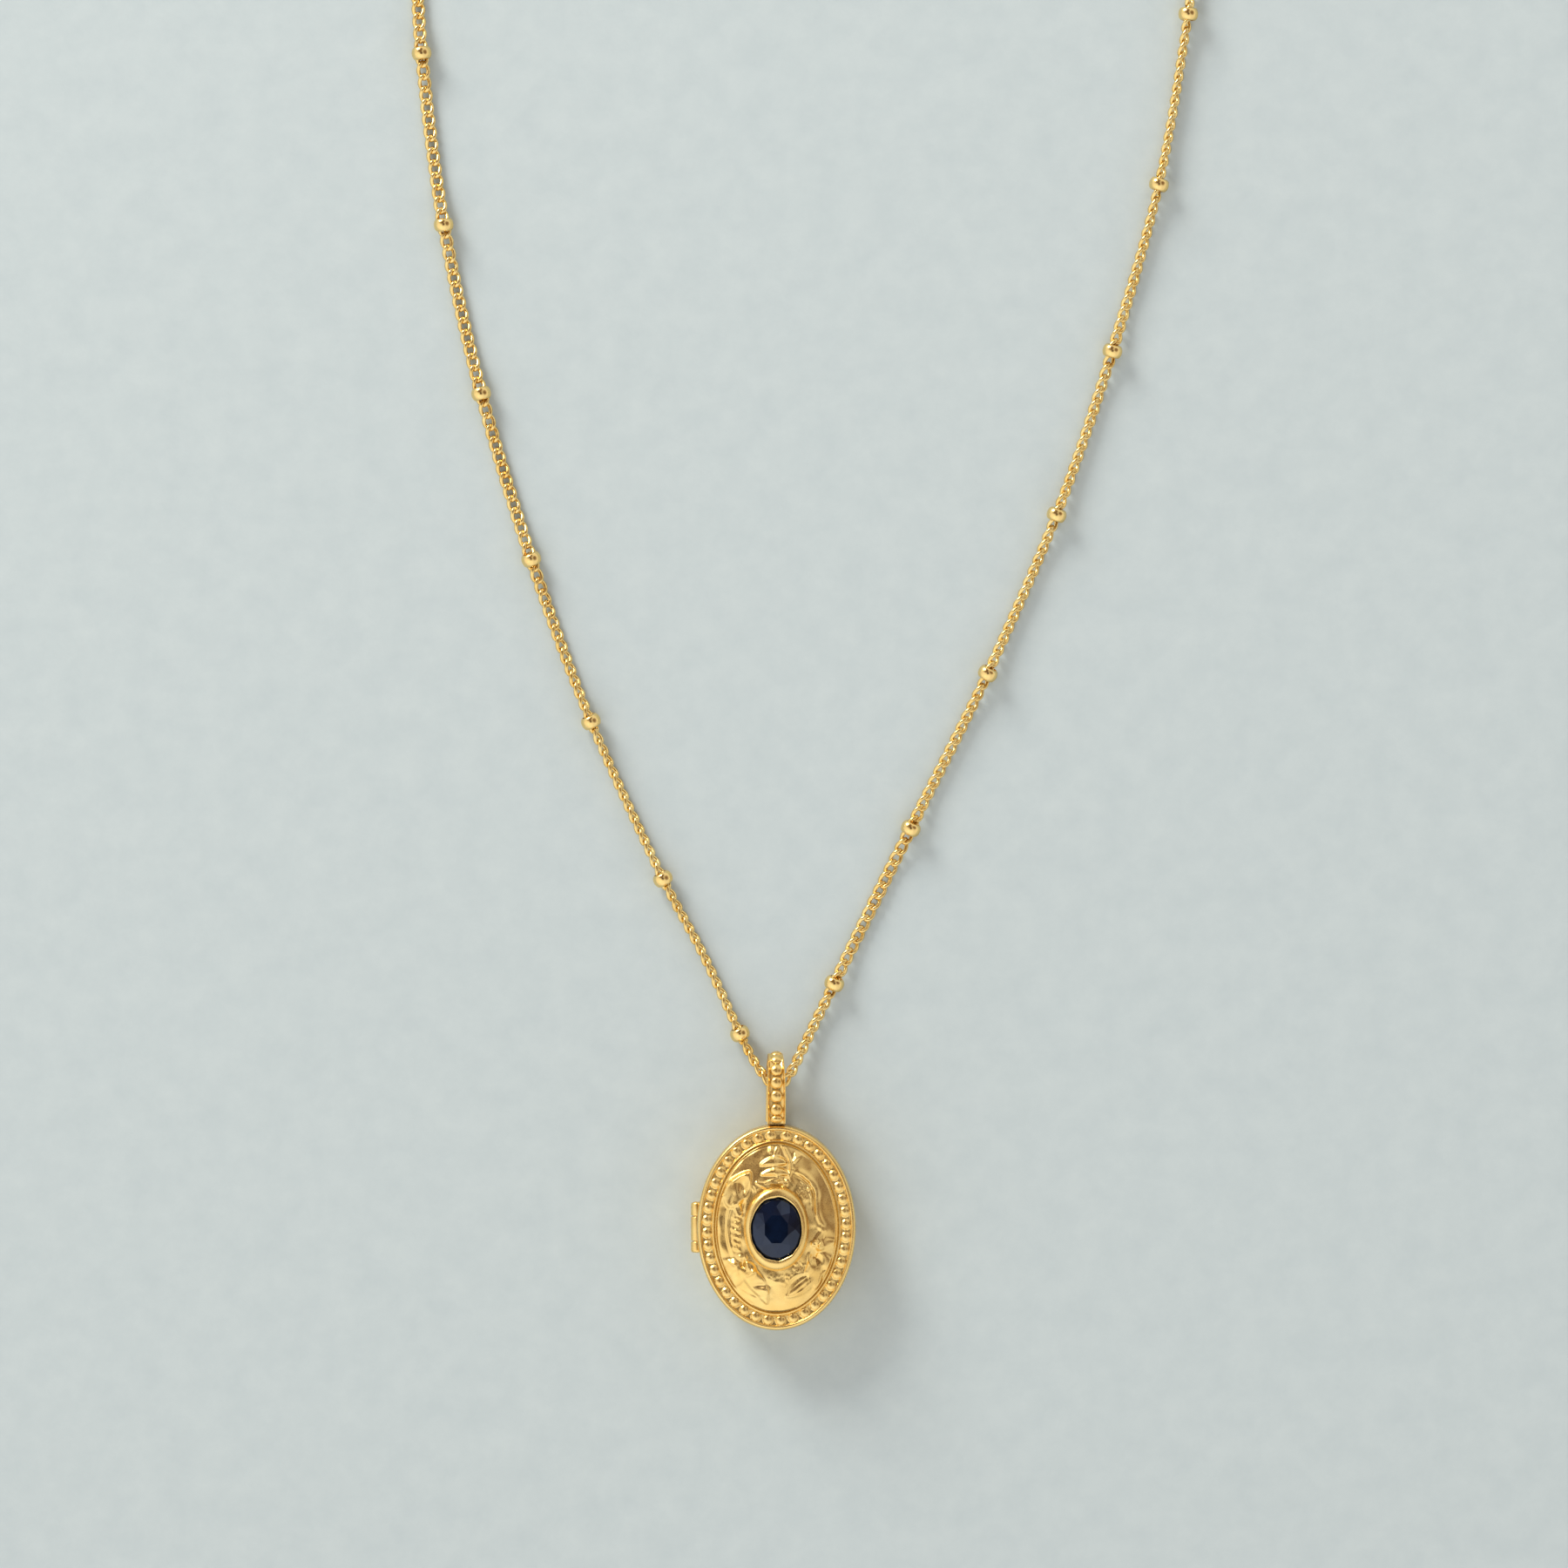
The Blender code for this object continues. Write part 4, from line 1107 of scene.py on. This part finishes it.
# %% Cut the stone
GIRDLE = (2.50, 3.00)
STONE_RINGS = [
    (0.46, 6.84, 8, 0.5), (0.70, 6.64, 8, 0.0), (0.88, 6.43, 16, 0.5), (1.0, 6.20, 16, 0.0),
    (1.0, 6.10, 16, 0.0), (0.55, 5.35, 8, 0.5), (0.04, 4.62, 8, 0.0),
]


def brilliant():
    """The hull of rings of corners (share of the girdle, height, corners, turn in steps)."""
    bm = bmesh.new()
    for share, z, corners, offset in STONE_RINGS:
        for i in range(corners):
            turn = 2 * math.pi * (i + offset) / corners
            x = GIRDLE[0] * share * math.cos(turn)
            y = GIRDLE[1] * share * math.sin(turn)
            bm.verts.new((x * MM, y * MM, z * MM))
    hull = bmesh.ops.convex_hull(bm, input=bm.verts)
    bmesh.ops.delete(bm, geom=hull["geom_interior"], context="VERTS")
    bmesh.ops.recalc_face_normals(bm, faces=bm.faces)
    bmesh.ops.dissolve_limit(bm, angle_limit=math.radians(2), verts=bm.verts, edges=bm.edges)
    mesh = bpy.data.meshes.new("sapphire_stone")
    bm.to_mesh(mesh)
    bm.free()
    return mesh


stone = add_piece("sapphire_stone", brilliant(), sapphire, "lid", ["sapphire"])
FACET_EDGE = 0.02 * MM
soften = stone.modifiers.new("polished_edges", "BEVEL")
soften.width = FACET_EDGE
soften.segments = 1
print("facets:", len(stone.data.polygons))

# %% [markdown]
# ## The bail
#
# The bail is a cast strap bent into a tall loop. Its front has thin raised borders, and its back
# is plain. It could be bent from a flat strip with a curve modifier, but its width and its section
# change on the way, so it is swept: a section follows the side view's path.

# %% The strap's path
BAIL_FRONT = 4.95
BAIL_BACK = 0.35
BAIL_FOOT = 9.62
BAIL_TOP = 16.0
STRAP = 0.50
bail_radius = (BAIL_FRONT - BAIL_BACK) / 2
bail_middle = (BAIL_FRONT + BAIL_BACK) / 2
bail_bend = BAIL_TOP - bail_radius
straight = bail_bend - BAIL_FOOT
half_turn = math.pi * bail_radius


def bail_at(run):
    """The outer face's place (y, z) and its outward direction after so many millimetres, from
    the front leg's foot over the top and down the back."""
    if run < straight:
        return (BAIL_FOOT + run, BAIL_FRONT), (0.0, 1.0)
    if run < straight + half_turn:
        turn = (run - straight) / bail_radius
        out = (math.sin(turn), math.cos(turn))
        return (bail_bend + bail_radius * out[0], bail_middle + bail_radius * out[1]), out
    return (bail_bend - (run - straight - half_turn), BAIL_BACK), (0.0, -1.0)


BAIL_LENGTH = straight * 2 + half_turn
print("bail strap length in mm:", round(BAIL_LENGTH, 2))

# %% [markdown]
# The section is given from its edge to its middle, as shares of the half width and rises in
# millimetres. The front's section has raised borders beside the beads. Over the top it turns into
# the plain one.

# %% The strap's section
BAIL_STEPS = 120
BAIL_HALF_WIDTHS = [
    (0.0, 0.86), (2.4, 0.88), (4.2, 0.84), (5.6, 0.76), (7.0, 0.68), (9.0, 0.70), (15.4, 0.80)
]
STRAP_SECTION = [
    (1.00, -0.06), (0.97, 0.03), (0.91, 0.06), (0.85, 0.03), (0.80, -0.08), (0.72, -0.14), (0.35, -0.15),
    (0.0, -0.15),
]
PLAIN_SECTION = [
    (1.00, -0.08), (0.97, -0.03), (0.90, 0.0), (0.82, 0.0), (0.77, 0.0), (0.70, 0.0), (0.35, 0.0),
    (0.0, 0.0),
]
BORDERED_UNTIL = straight + half_turn * 0.26
BACK_LEAN = 0.20


def bail_strap():
    """The points of the strap, ring by ring."""
    rings = []
    widths = np.array(BAIL_HALF_WIDTHS)
    for k in range(BAIL_STEPS + 1):
        run = BAIL_LENGTH * k / BAIL_STEPS
        (y, z), (out_y, out_z) = bail_at(run)
        half = float(np.interp(run, widths[:, 0], widths[:, 1]))
        mix = float(soft_step(BORDERED_UNTIL - 0.3, BORDERED_UNTIL + 0.3, run))
        ring = []
        for (share, rise), (_, plain) in zip(STRAP_SECTION, PLAIN_SECTION):
            ring.append((share * half, rise * (1 - mix) + plain * mix))
        ring += [(-x, lift) for x, lift in reversed(ring[:-1])]
        ring += [(-0.98 * half, -STRAP + 0.06), (-0.90 * half, -STRAP), (0.90 * half, -STRAP)]
        ring.append((0.98 * half, -STRAP + 0.06))
        lean = -BACK_LEAN * float(soft_step(straight, straight + half_turn, run))
        rings.append([(x + lean, y + out_y * lift, z + out_z * lift) for x, lift in ring])
    return np.array(rings)


strap = bail_strap()
strap_rows, strap_columns = strap.shape[:2]
strap_faces = list(grid_faces(strap_rows, strap_columns))
strap_faces.append(np.arange(strap_columns))
strap_faces.append(np.arange(strap_columns) + (strap_rows - 1) * strap_columns)
print("strap rings:", strap_rows, "points in each:", strap_columns)

# %% [markdown]
# The beads are half balls like the rim's, set square to the strap, with a short one squeezed in at
# the foot. They are cast in one with the strap, so they are shells of the same mesh.

# %% The bail's beads
BAIL_BEAD_PITCH = 1.25
FIRST_BAIL_BEAD = 10.88 - BAIL_FOOT
BAIL_BEADS = 6
BAIL_BEAD_RADIUS = 0.58
BAIL_BEAD_LIFT = 0.38
BAIL_BEAD_SINK = 0.16
FOOT_BEAD = 0.42
FOOT_BEAD_LENGTH = 0.36


def dome_points(rings=9, around=28):
    """A half ball of radius 1 as rows from its foot to its top."""
    climb = np.linspace(0.0, math.pi / 2 * 0.985, rings)
    turns = np.linspace(0.0, 2 * math.pi, around, endpoint=False)
    return np.stack(
        [
            np.cos(climb)[:, None] * np.cos(turns),
            np.cos(climb)[:, None] * np.sin(turns),
            np.repeat(np.sin(climb)[:, None], around, axis=1),
        ],
        axis=-1,
    )


bail_points = [strap.reshape(-1, 3)]
bail_faces = [tuple(f) for f in strap_faces]
dome = dome_points()
dome_faces = grid_faces(dome.shape[0], dome.shape[1])
bead_places = [(FOOT_BEAD, FOOT_BEAD_LENGTH)]
bead_places += [(FIRST_BAIL_BEAD + k * BAIL_BEAD_PITCH, BAIL_BEAD_RADIUS) for k in range(BAIL_BEADS)]
for place, reach in bead_places:
    (y, z), (out_y, out_z) = bail_at(place)
    local = dome.reshape(-1, 3) * (BAIL_BEAD_RADIUS, reach, BAIL_BEAD_LIFT)
    lift = local[:, 2] - BAIL_BEAD_SINK
    first = sum(len(part) for part in bail_points)
    placed = np.stack(
        [local[:, 0], y + out_y * lift + out_z * local[:, 1], z + out_z * lift - out_y * local[:, 1]],
        axis=-1,
    )
    bail_points.append(placed)
    bail_faces += [tuple(f) for f in dome_faces + first]
    top_row = first + (dome.shape[0] - 1) * dome.shape[1]
    bail_faces.append(tuple(range(top_row, top_row + dome.shape[1])))
    bail_faces.append(tuple(range(first, first + dome.shape[1])))
print("beads on the bail:", len(bead_places))

# %% [markdown]
# A solid foot joins the strap's two legs. It is the last shell of the bail's mesh.

# %% Foot and the whole bail
FOOT_LENGTH = 0.70
FOOT_HALF_WIDTH = 0.80
FOOT_SET_BACK = 0.10
FOOT_RINGS = [(-0.10, 0.08), (FOOT_LENGTH * 0.8, 0.08), (FOOT_LENGTH, 0.20)]
foot_low = first + dome.shape[0] * dome.shape[1]
foot_ring = []
for rise, reach in FOOT_RINGS:
    for x, z in (
        (-FOOT_HALF_WIDTH, BAIL_BACK + reach), (FOOT_HALF_WIDTH, BAIL_BACK + reach),
        (FOOT_HALF_WIDTH, BAIL_FRONT - reach - FOOT_SET_BACK),
        (-FOOT_HALF_WIDTH, BAIL_FRONT - reach - FOOT_SET_BACK),
    ):
        foot_ring.append((x, BAIL_FOOT + rise, z))
bail_points.append(np.array(foot_ring))
bail_faces += [tuple(f) for f in grid_faces(len(FOOT_RINGS), 4) + foot_low]
bail_faces.append((foot_low, foot_low + 1, foot_low + 2, foot_low + 3))
bail_faces.append((foot_low + 8, foot_low + 9, foot_low + 10, foot_low + 11))
bail_mesh = make_mesh("locket_bail", np.vstack(bail_points) * MM, bail_faces, 50.0)
add_piece("locket_bail", bail_mesh, satin_gold, "pendant", ["bail"])
print("faces of the bail:", len(bail_mesh.polygons))

# %% [markdown]
# ## The hinge
#
# Three short barrels share one pin: the outer two are soldered to the back, the middle one to the
# lid. They are turned, with rounded ends and a bore for the pin. Each takes its length from its CAD
# solid, and its end roundings in millimetres are listed beside its body.

# %% Barrels and pin
KNUCKLE_RADIUS = 0.59
KNUCKLE_BORE = 0.28
KNUCKLES = [
    ("lower", "pendant", 0.24, 0.10),
    ("middle", "lid", 0.10, 0.10),
    ("upper", "pendant", 0.10, 0.28),
]


def on_hinge(node):
    """Half the length of a CAD solid on the hinge's line, and the matrix of its middle."""
    low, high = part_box(node)
    middle = (HINGE_AT[0] * MM, (low.y + high.y) / 2, HINGE_AT[1] * MM)
    return (high.y - low.y) / 2 / MM, facing(middle, (0, 1, 0))


def barrel_profile(half, low_round, high_round):
    """A bored barrel whose two ends are rounded over by these amounts."""
    outline = [(KNUCKLE_BORE, -half)]
    for k in range(6):
        turn = math.radians(-90 + 18 * k)
        reach = KNUCKLE_RADIUS - low_round * (1 - math.cos(turn))
        outline.append((reach, -half + low_round * (1 + math.sin(turn))))
    for k in range(6):
        turn = math.radians(18 * k)
        reach = KNUCKLE_RADIUS - high_round * (1 - math.cos(turn))
        outline.append((reach, half - high_round * (1 - math.sin(turn))))
    return [*outline, (KNUCKLE_BORE, half)]


for place, body, low_round, high_round in KNUCKLES:
    half, seat = on_hinge("hinge_knuckle_" + place)
    profile = barrel_profile(half, low_round, high_round)
    barrel = turned("barrel_" + place, np.array(profile) * MM, 40, closed=True)
    barrel.transform(seat)
    add_piece("barrel_" + place, barrel, satin_gold, body, ["hinge_knuckle_" + place])
    print(place, "barrel, mm long:", round(2 * half, 2))

# %% [markdown]
# The pin is a straight wire with its ends filed to a blunt cone.

# %% Pin
PIN_RADIUS = 0.22
PIN_TIP = 0.14
PIN_CHAMFER = 0.07
half, seat = on_hinge("hinge_pin")
straight_end = half - PIN_CHAMFER
pin_profile = [(0.001, -half), (PIN_TIP, -half), (PIN_RADIUS, -straight_end)]
pin_profile += [(PIN_RADIUS, straight_end), (PIN_TIP, half), (0.001, half)]
pin = turned("rivet_pin", np.array(pin_profile) * MM, 24)
pin.transform(seat)
add_piece("rivet_pin", pin, satin_gold, "pendant", ["hinge_pin"])
print("pin, mm long:", round(2 * half, 2))

# %% [markdown]
# ## The clasp
#
# A bolt ring closes the chain behind the neck: a tube bent into a ring with an open mouth, a bent
# bolt that slides inside it, a spring behind the bolt and a small pin for the thumbnail. Tubes,
# bolts, rings and springs are all sweeps of a circle along a curve. A curve object with a bevel
# would do for most, but the bolt's ends are domed, so one function sweeps them all.

# %% Sweeps
DOME_STEPS = [(0.94, 0.30), (0.72, 0.55), (0.40, 0.68), (0.02, 0.72)]


def sweep(name, line, radius, sides=20, closed=False, round_ends=True):
    """A bar along a line of points in millimetres, with domed ends unless it is a closed ring."""
    line = np.array(line, float)
    if not closed and round_ends:
        start = line[0] - line[1]
        end = line[-1] - line[-2]
        start = start / np.linalg.norm(start)
        end = end / np.linalg.norm(end)
        head = [line[0] + start * radius * push for _, push in reversed(DOME_STEPS)]
        tail = [line[-1] + end * radius * push for _, push in DOME_STEPS]
        closing = [share for share, _ in DOME_STEPS]
        shares = [*reversed(closing), *[1.0] * len(line), *closing]
        line = np.vstack([head, line, tail])
    else:
        shares = [1.0] * len(line)
    count = len(line)
    ahead = np.gradient(line, axis=0)
    if closed:
        ahead = np.roll(line, -1, axis=0) - np.roll(line, 1, axis=0)
    ahead /= np.linalg.norm(ahead, axis=1)[:, None]
    sideways = np.cross(ahead, [0.0, 0.0, 1.0])
    short = np.linalg.norm(sideways, axis=1) < 1e-6
    sideways[short] = (1.0, 0.0, 0.0)
    sideways /= np.linalg.norm(sideways, axis=1)[:, None]
    up = np.cross(sideways, ahead)
    turns = np.linspace(0.0, 2 * math.pi, sides, endpoint=False)
    section = np.cos(turns)[None, :, None] * sideways[:, None]
    section = section + np.sin(turns)[None, :, None] * up[:, None]
    points = line[:, None] + section * (radius * np.array(shares))[:, None, None]
    faces = [tuple(f) for f in grid_faces(count, sides, wrap_rows=closed)]
    if not closed:
        faces.append(tuple(range(sides)))
        faces.append(tuple(range((count - 1) * sides, count * sides)))
    return make_mesh(name, points.reshape(-1, 3) * MM, faces, 60.0)


CLASP = np.array([3.90, 126.0, 1.36])
RING_RADIUS = 2.30


def ring_arc(radius, start, end, count=64):
    """Points of an arc about the clasp's centre, between two angles in degrees."""
    turns = np.radians(np.linspace(start, end, count))
    return CLASP + radius * np.stack([np.cos(turns), np.sin(turns), np.zeros(count)], axis=-1)


print("clasp at", CLASP, "mm, ring radius", RING_RADIUS)

# %% [markdown]
# ### The bored tube
#
# The clasp's body is cut from solid the way the CAD is: a thick bent bar, less the bore that the
# bolt slides in and less the slot that the thumb pin moves in. A Boolean does both cuts.

# %% The clasp's body
TUBE_RADIUS = 0.70
BORE_RADIUS = 0.50
MOUTH = (35.0, 88.0)
BOLT_SPAN = (22.0, 165.0)
SPRING_END = 262.0
THUMB_ANGLE = 104.0
TRAVEL = 56.0
SLOT_RADIUS = 0.36
SLOT_PAST = 7


def cut_away(piece, cutters):
    """Cuts these meshes out of the piece and keeps the result as its mesh."""
    made = []
    for mesh in cutters:
        cutter = bpy.data.objects.new(mesh.name, mesh)
        bpy.context.scene.collection.objects.link(cutter)
        boolean = piece.modifiers.new(mesh.name, "BOOLEAN")
        boolean.operation = "DIFFERENCE"
        boolean.object = cutter
        made.append(cutter)
    bpy.context.view_layer.update()
    graph = bpy.context.evaluated_depsgraph_get()
    result = bpy.data.meshes.new_from_object(piece.evaluated_get(graph))
    piece.modifiers.clear()
    piece.data = result
    for cutter in made:
        bpy.data.objects.remove(cutter)
    result.shade_smooth()
    result.set_sharp_from_angle(angle=math.radians(45))
    return piece


ring_line = ring_arc(RING_RADIUS, MOUTH[1], MOUTH[0] + 360, 96)
ring_mesh = sweep("bolt_ring", ring_line, TUBE_RADIUS, 32, round_ends=False)
bolt_ring = add_piece("bolt_ring", ring_mesh, bright_gold, "chain", ["clasp_body"])
long_bore = sweep("long_bore", ring_arc(RING_RADIUS, MOUTH[1] - 8, SPRING_END + 1), BORE_RADIUS, 24)
short_bore = sweep("short_bore", ring_arc(RING_RADIUS, BOLT_SPAN[0] - 2, MOUTH[0] + 8), BORE_RADIUS, 24)
slot_line = ring_arc(
    RING_RADIUS + TUBE_RADIUS, THUMB_ANGLE - SLOT_PAST, THUMB_ANGLE + TRAVEL + SLOT_PAST
)
thumb_slot = sweep("thumb_slot", slot_line, SLOT_RADIUS, 20)
cut_away(bolt_ring, [long_bore, short_bore, thumb_slot])
print("faces in the bolt ring:", len(bolt_ring.data.polygons))

# %% [markdown]
# The bolt is a bent bar with domed ends that closes the mouth, and the thumb pin stands out of it
# through the slot. Both ride on the bolt's body, so that they slide round together.

# %% Bolt and thumb pin
BOLT_RADIUS = 0.43
THUMB_PIN_RADIUS = 0.22
THUMB_PIN_REACH = 0.46
bolt_line = ring_arc(RING_RADIUS, BOLT_SPAN[0] + 5, BOLT_SPAN[1])
bolt_mesh = sweep("sliding_bolt", bolt_line, BOLT_RADIUS, 24)
add_piece("sliding_bolt", bolt_mesh, bright_gold, "bolt", ["clasp_bolt"])

thumb = math.radians(THUMB_ANGLE)
outward = np.array([math.cos(thumb), math.sin(thumb), 0.0])
pin_start = CLASP + outward * (RING_RADIUS + BOLT_RADIUS)
pin_end = CLASP + outward * (RING_RADIUS + TUBE_RADIUS + THUMB_PIN_REACH)
pin_line = [pin_start, (pin_start + pin_end) / 2, pin_end]
thumb_mesh = sweep("thumb_pin", pin_line, THUMB_PIN_RADIUS, 20)
add_piece("thumb_pin", thumb_mesh, bright_gold, "bolt", ["clasp_thumb_pin"])
print("bolt from", BOLT_SPAN[0], "to", BOLT_SPAN[1], "degrees")

# %% [markdown]
# The spring is a coil whose own line bends round the ring. Its distance from the clasp's centre and
# its height go round once for each coil.

# %% Spring
COILS = 7
COIL_POINTS = 24
COIL_RADIUS = 0.34
SPRING_WIRE_RADIUS = 0.07
SPRING_GAP = 3
coil_turn = np.linspace(0.0, 2 * math.pi * COILS, COILS * COIL_POINTS)
coil_span = (BOLT_SPAN[1] + SPRING_GAP, SPRING_END - SPRING_GAP)
coil_angle = np.radians(np.linspace(*coil_span, len(coil_turn)))
coil_reach = RING_RADIUS + COIL_RADIUS * np.cos(coil_turn)
coil_x = coil_reach * np.cos(coil_angle)
coil_y = coil_reach * np.sin(coil_angle)
coil_z = COIL_RADIUS * np.sin(coil_turn)
coil_line = CLASP + np.stack([coil_x, coil_y, coil_z], axis=-1)
coil_mesh = sweep("bolt_spring", coil_line, SPRING_WIRE_RADIUS, 10)
add_piece("bolt_spring", coil_mesh, spring_steel, "chain", ["clasp_spring"])
print("spring coils:", COILS)

# %% [markdown]
# ### The rings at the chain's ends
#
# The clasp's eye is part of its body, a jump ring joins it to the chain, and a larger soldered
# ring on the other end is what the clasp closes on.

# %% End rings
def wire_ring(name, node, offset, radius, wire, lean):
    """A closed ring of round wire beside the clasp, leaning about the chain's line."""
    turns = np.linspace(0.0, 2 * math.pi, 72, endpoint=False)
    tilt = math.radians(lean)
    across = np.array([0.0, math.cos(tilt), math.sin(tilt)])
    centre = CLASP + (offset, 0.0, 0.0)
    line = np.cos(turns)[:, None] * (1.0, 0.0, 0.0) + np.sin(turns)[:, None] * across
    mesh = sweep(name, centre + radius * line, wire, 18, closed=True)
    return add_piece(name, mesh, bright_gold, "chain", [node])


wire_ring("bolt_ring_eye", "clasp_eye", -4.15, 0.85, 0.25, 0.0)
jump_ring = wire_ring("jump_ring_left", "end_ring_left", -5.50, 1.20, 0.22, 65.0)
catch_ring = wire_ring("catch_ring_right", "end_ring_right", 2.70, 1.50, 0.25, 45.0)
print("rings:", jump_ring.name, "and", catch_ring.name)

# %% [markdown]
# ## The last CAD solid that shows
#
# The small lug under the bail keeps its CAD shape and takes the satin gold.

# %% Gold for the lug
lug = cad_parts["bail_lug"]
lug.data.materials.clear()
lug.data.materials.append(satin_gold)
print("gilded", lug.name)

# %% [markdown]
# ## The length of each side
#
# Each side of the chain has its real length along its route, with its beads threaded on it
# and a ring at its end. Both lengths are printed.

for side in ("left", "right"):
    fine, run = chain_lines[side]
    print(side, "cord in mm:", round(float(run[-1]) / MM, 1))

# %% [markdown]
# ## The table
#
# The table is a plain pale board with a faint paper grain, so that nothing draws the eye away from
# the metal and the shadows stay easy to read.

# %% Table
def pale_board():
    made, space = new_material("matt_card_board")
    pulp = add_node(
        made,
        "ShaderNodeTexNoise",
        links={"Vector": (space, "Object")},
        inputs={"Scale": per_metre(3.0), "Detail": 6.0, "Roughness": 0.65},
    )
    share = add_node(
        made,
        "ShaderNodeMapRange",
        links={"Value": (pulp, "Fac")},
        inputs=range_inputs(0.3, 0.7, 0.0, 1.0),
    )
    tint = add_node(
        made,
        "ShaderNodeMix",
        data_type="RGBA",
        links={0: (share, "Result")},
        inputs={6: linear("#C3D2D8"), 7: linear("#CBD9DE")},
    )
    matt = add_node(
        made,
        "ShaderNodeMapRange",
        links={"Value": (pulp, "Fac")},
        inputs=range_inputs(0.3, 0.7, 0.75, 0.88),
    )
    bump = add_node(
        made,
        "ShaderNodeBump",
        links={"Height": (pulp, "Fac")},
        inputs={"Strength": 0.35, "Distance": 0.10 * MM},
    )
    drives = {"Base Color": (tint, 2), "Roughness": (matt, "Result"), "Normal": (bump, "Normal")}
    return finish_material(made, drives, {})


TABLE_HALF = 3.0
TABLE_DROP = 0.02 * MM
table_mesh = bpy.data.meshes.new("table_board")
bm = bmesh.new()
bmesh.ops.create_grid(bm, x_segments=8, y_segments=8, size=TABLE_HALF)
bm.to_mesh(table_mesh)
bm.free()
table_mesh.materials.append(pale_board())
table = bpy.data.objects.new("table_board", table_mesh)
bpy.context.scene.collection.objects.link(table)
table.location = (0.0, 0.05, -TABLE_DROP)
print("table, m across:", 2 * TABLE_HALF)

# %% [markdown]
# ## The light
#
# Gold shows what surrounds it. One soft panel stands low at the upper left: it rakes over the
# relief, so that every edge turned to it shines cream, and throws short soft shadows to the lower
# right. It stays so low that the flat faces, which look straight up, don't reflect it.

# %% The panel
PANEL_PLACE = (-0.58, 0.88, 0.42)
PANEL_SIZE = 0.42
PANEL_WATTS = 9.5
panel = bpy.data.lights.new("panel_upper_left", "AREA")
panel.shape = "SQUARE"
panel.size = PANEL_SIZE
panel.energy = PANEL_WATTS
panel.color = linear("#FFFAF2")[:3]
lamp = bpy.data.objects.new("panel_upper_left", panel)
bpy.context.scene.collection.objects.link(lamp)
lamp.location = PANEL_PLACE
lamp.rotation_mode = "QUATERNION"
lamp.rotation_quaternion = (VIEW_CENTRE - lamp.location).to_track_quat("-Z", "Y")
print("panel, m from the view's centre:", round((VIEW_CENTRE - lamp.location).length, 2))

# %% [markdown]
# The rest of the light comes from a tent of white cloth round the table, which is drawn as a world.
# Each patch of it is a direction, an inner and an outer angle in degrees, and how bright it is
# beside the cloth. The camera looks in through an opening overhead, so flat faces stay deeper in
# tone. Two dark corners of the room come through the cloth, and two white cards stand at the near
# and the left side. The darker a part of the tent is, the warmer it looks, as wood does.

# %% The tent
TENT_PATCHES = [
    ("opening overhead", (0.0, 0.0, 1.0), 7, 19, 0.05),
    ("dark corner upper left", (-0.30, 0.60, 0.74), 18, 38, 0.22),
    ("dark corner right", (0.68, 0.20, 0.70), 12, 30, 0.34),
    ("white card near side", (-0.12, -0.66, 0.74), 12, 40, 1.28),
    ("white card left side", (-0.70, -0.30, 0.64), 10, 36, 1.25),
]
TENT_LEVEL = 0.94
world = bpy.data.worlds.new("light_tent")
world.use_nodes = True
cloth = world.node_tree.nodes["Background"]
way = add_node(world, "ShaderNodeTexCoord")
level = add_node(world, "ShaderNodeValue")
level.outputs["Value"].default_value = TENT_LEVEL
for label, direction, inner, outer, gain in TENT_PATCHES:
    facing_it = add_node(
        world,
        "ShaderNodeVectorMath",
        operation="DOT_PRODUCT",
        label=label,
        links={0: (way, "Generated")},
        inputs={1: tuple(Vector(direction).normalized())},
    )
    patch = add_node(
        world,
        "ShaderNodeMapRange",
        interpolation_type="SMOOTHSTEP",
        links={"Value": (facing_it, "Value")},
        inputs=range_inputs(math.cos(math.radians(outer)), math.cos(math.radians(inner)), 1.0, gain),
    )
    level = add_node(
        world,
        "ShaderNodeMath",
        operation="MULTIPLY",
        links={0: (level, "Value"), 1: (patch, "Result")},
    )
print("patches in the tent:", len(TENT_PATCHES))

# %% [markdown]
# Last come the tent's two tones, and a plain view transform, so that the colours set above are the
# colours seen.

# %% Tone of the tent
share = add_node(
    world,
    "ShaderNodeMapRange",
    links={"Value": (level, "Value")},
    inputs=range_inputs(0.10, 0.80, 0.0, 1.0),
)
tone = add_node(
    world,
    "ShaderNodeMix",
    data_type="RGBA",
    links={0: (share, "Result")},
    inputs={6: linear("#C67E36"), 7: linear("#FFFBF5")},
)
world.node_tree.links.new(tone.outputs[2], cloth.inputs["Color"])
world.node_tree.links.new(level.outputs["Value"], cloth.inputs["Strength"])
bpy.context.scene.world = world
bpy.context.scene.view_settings.view_transform = "Standard"
print("world:", world.name)
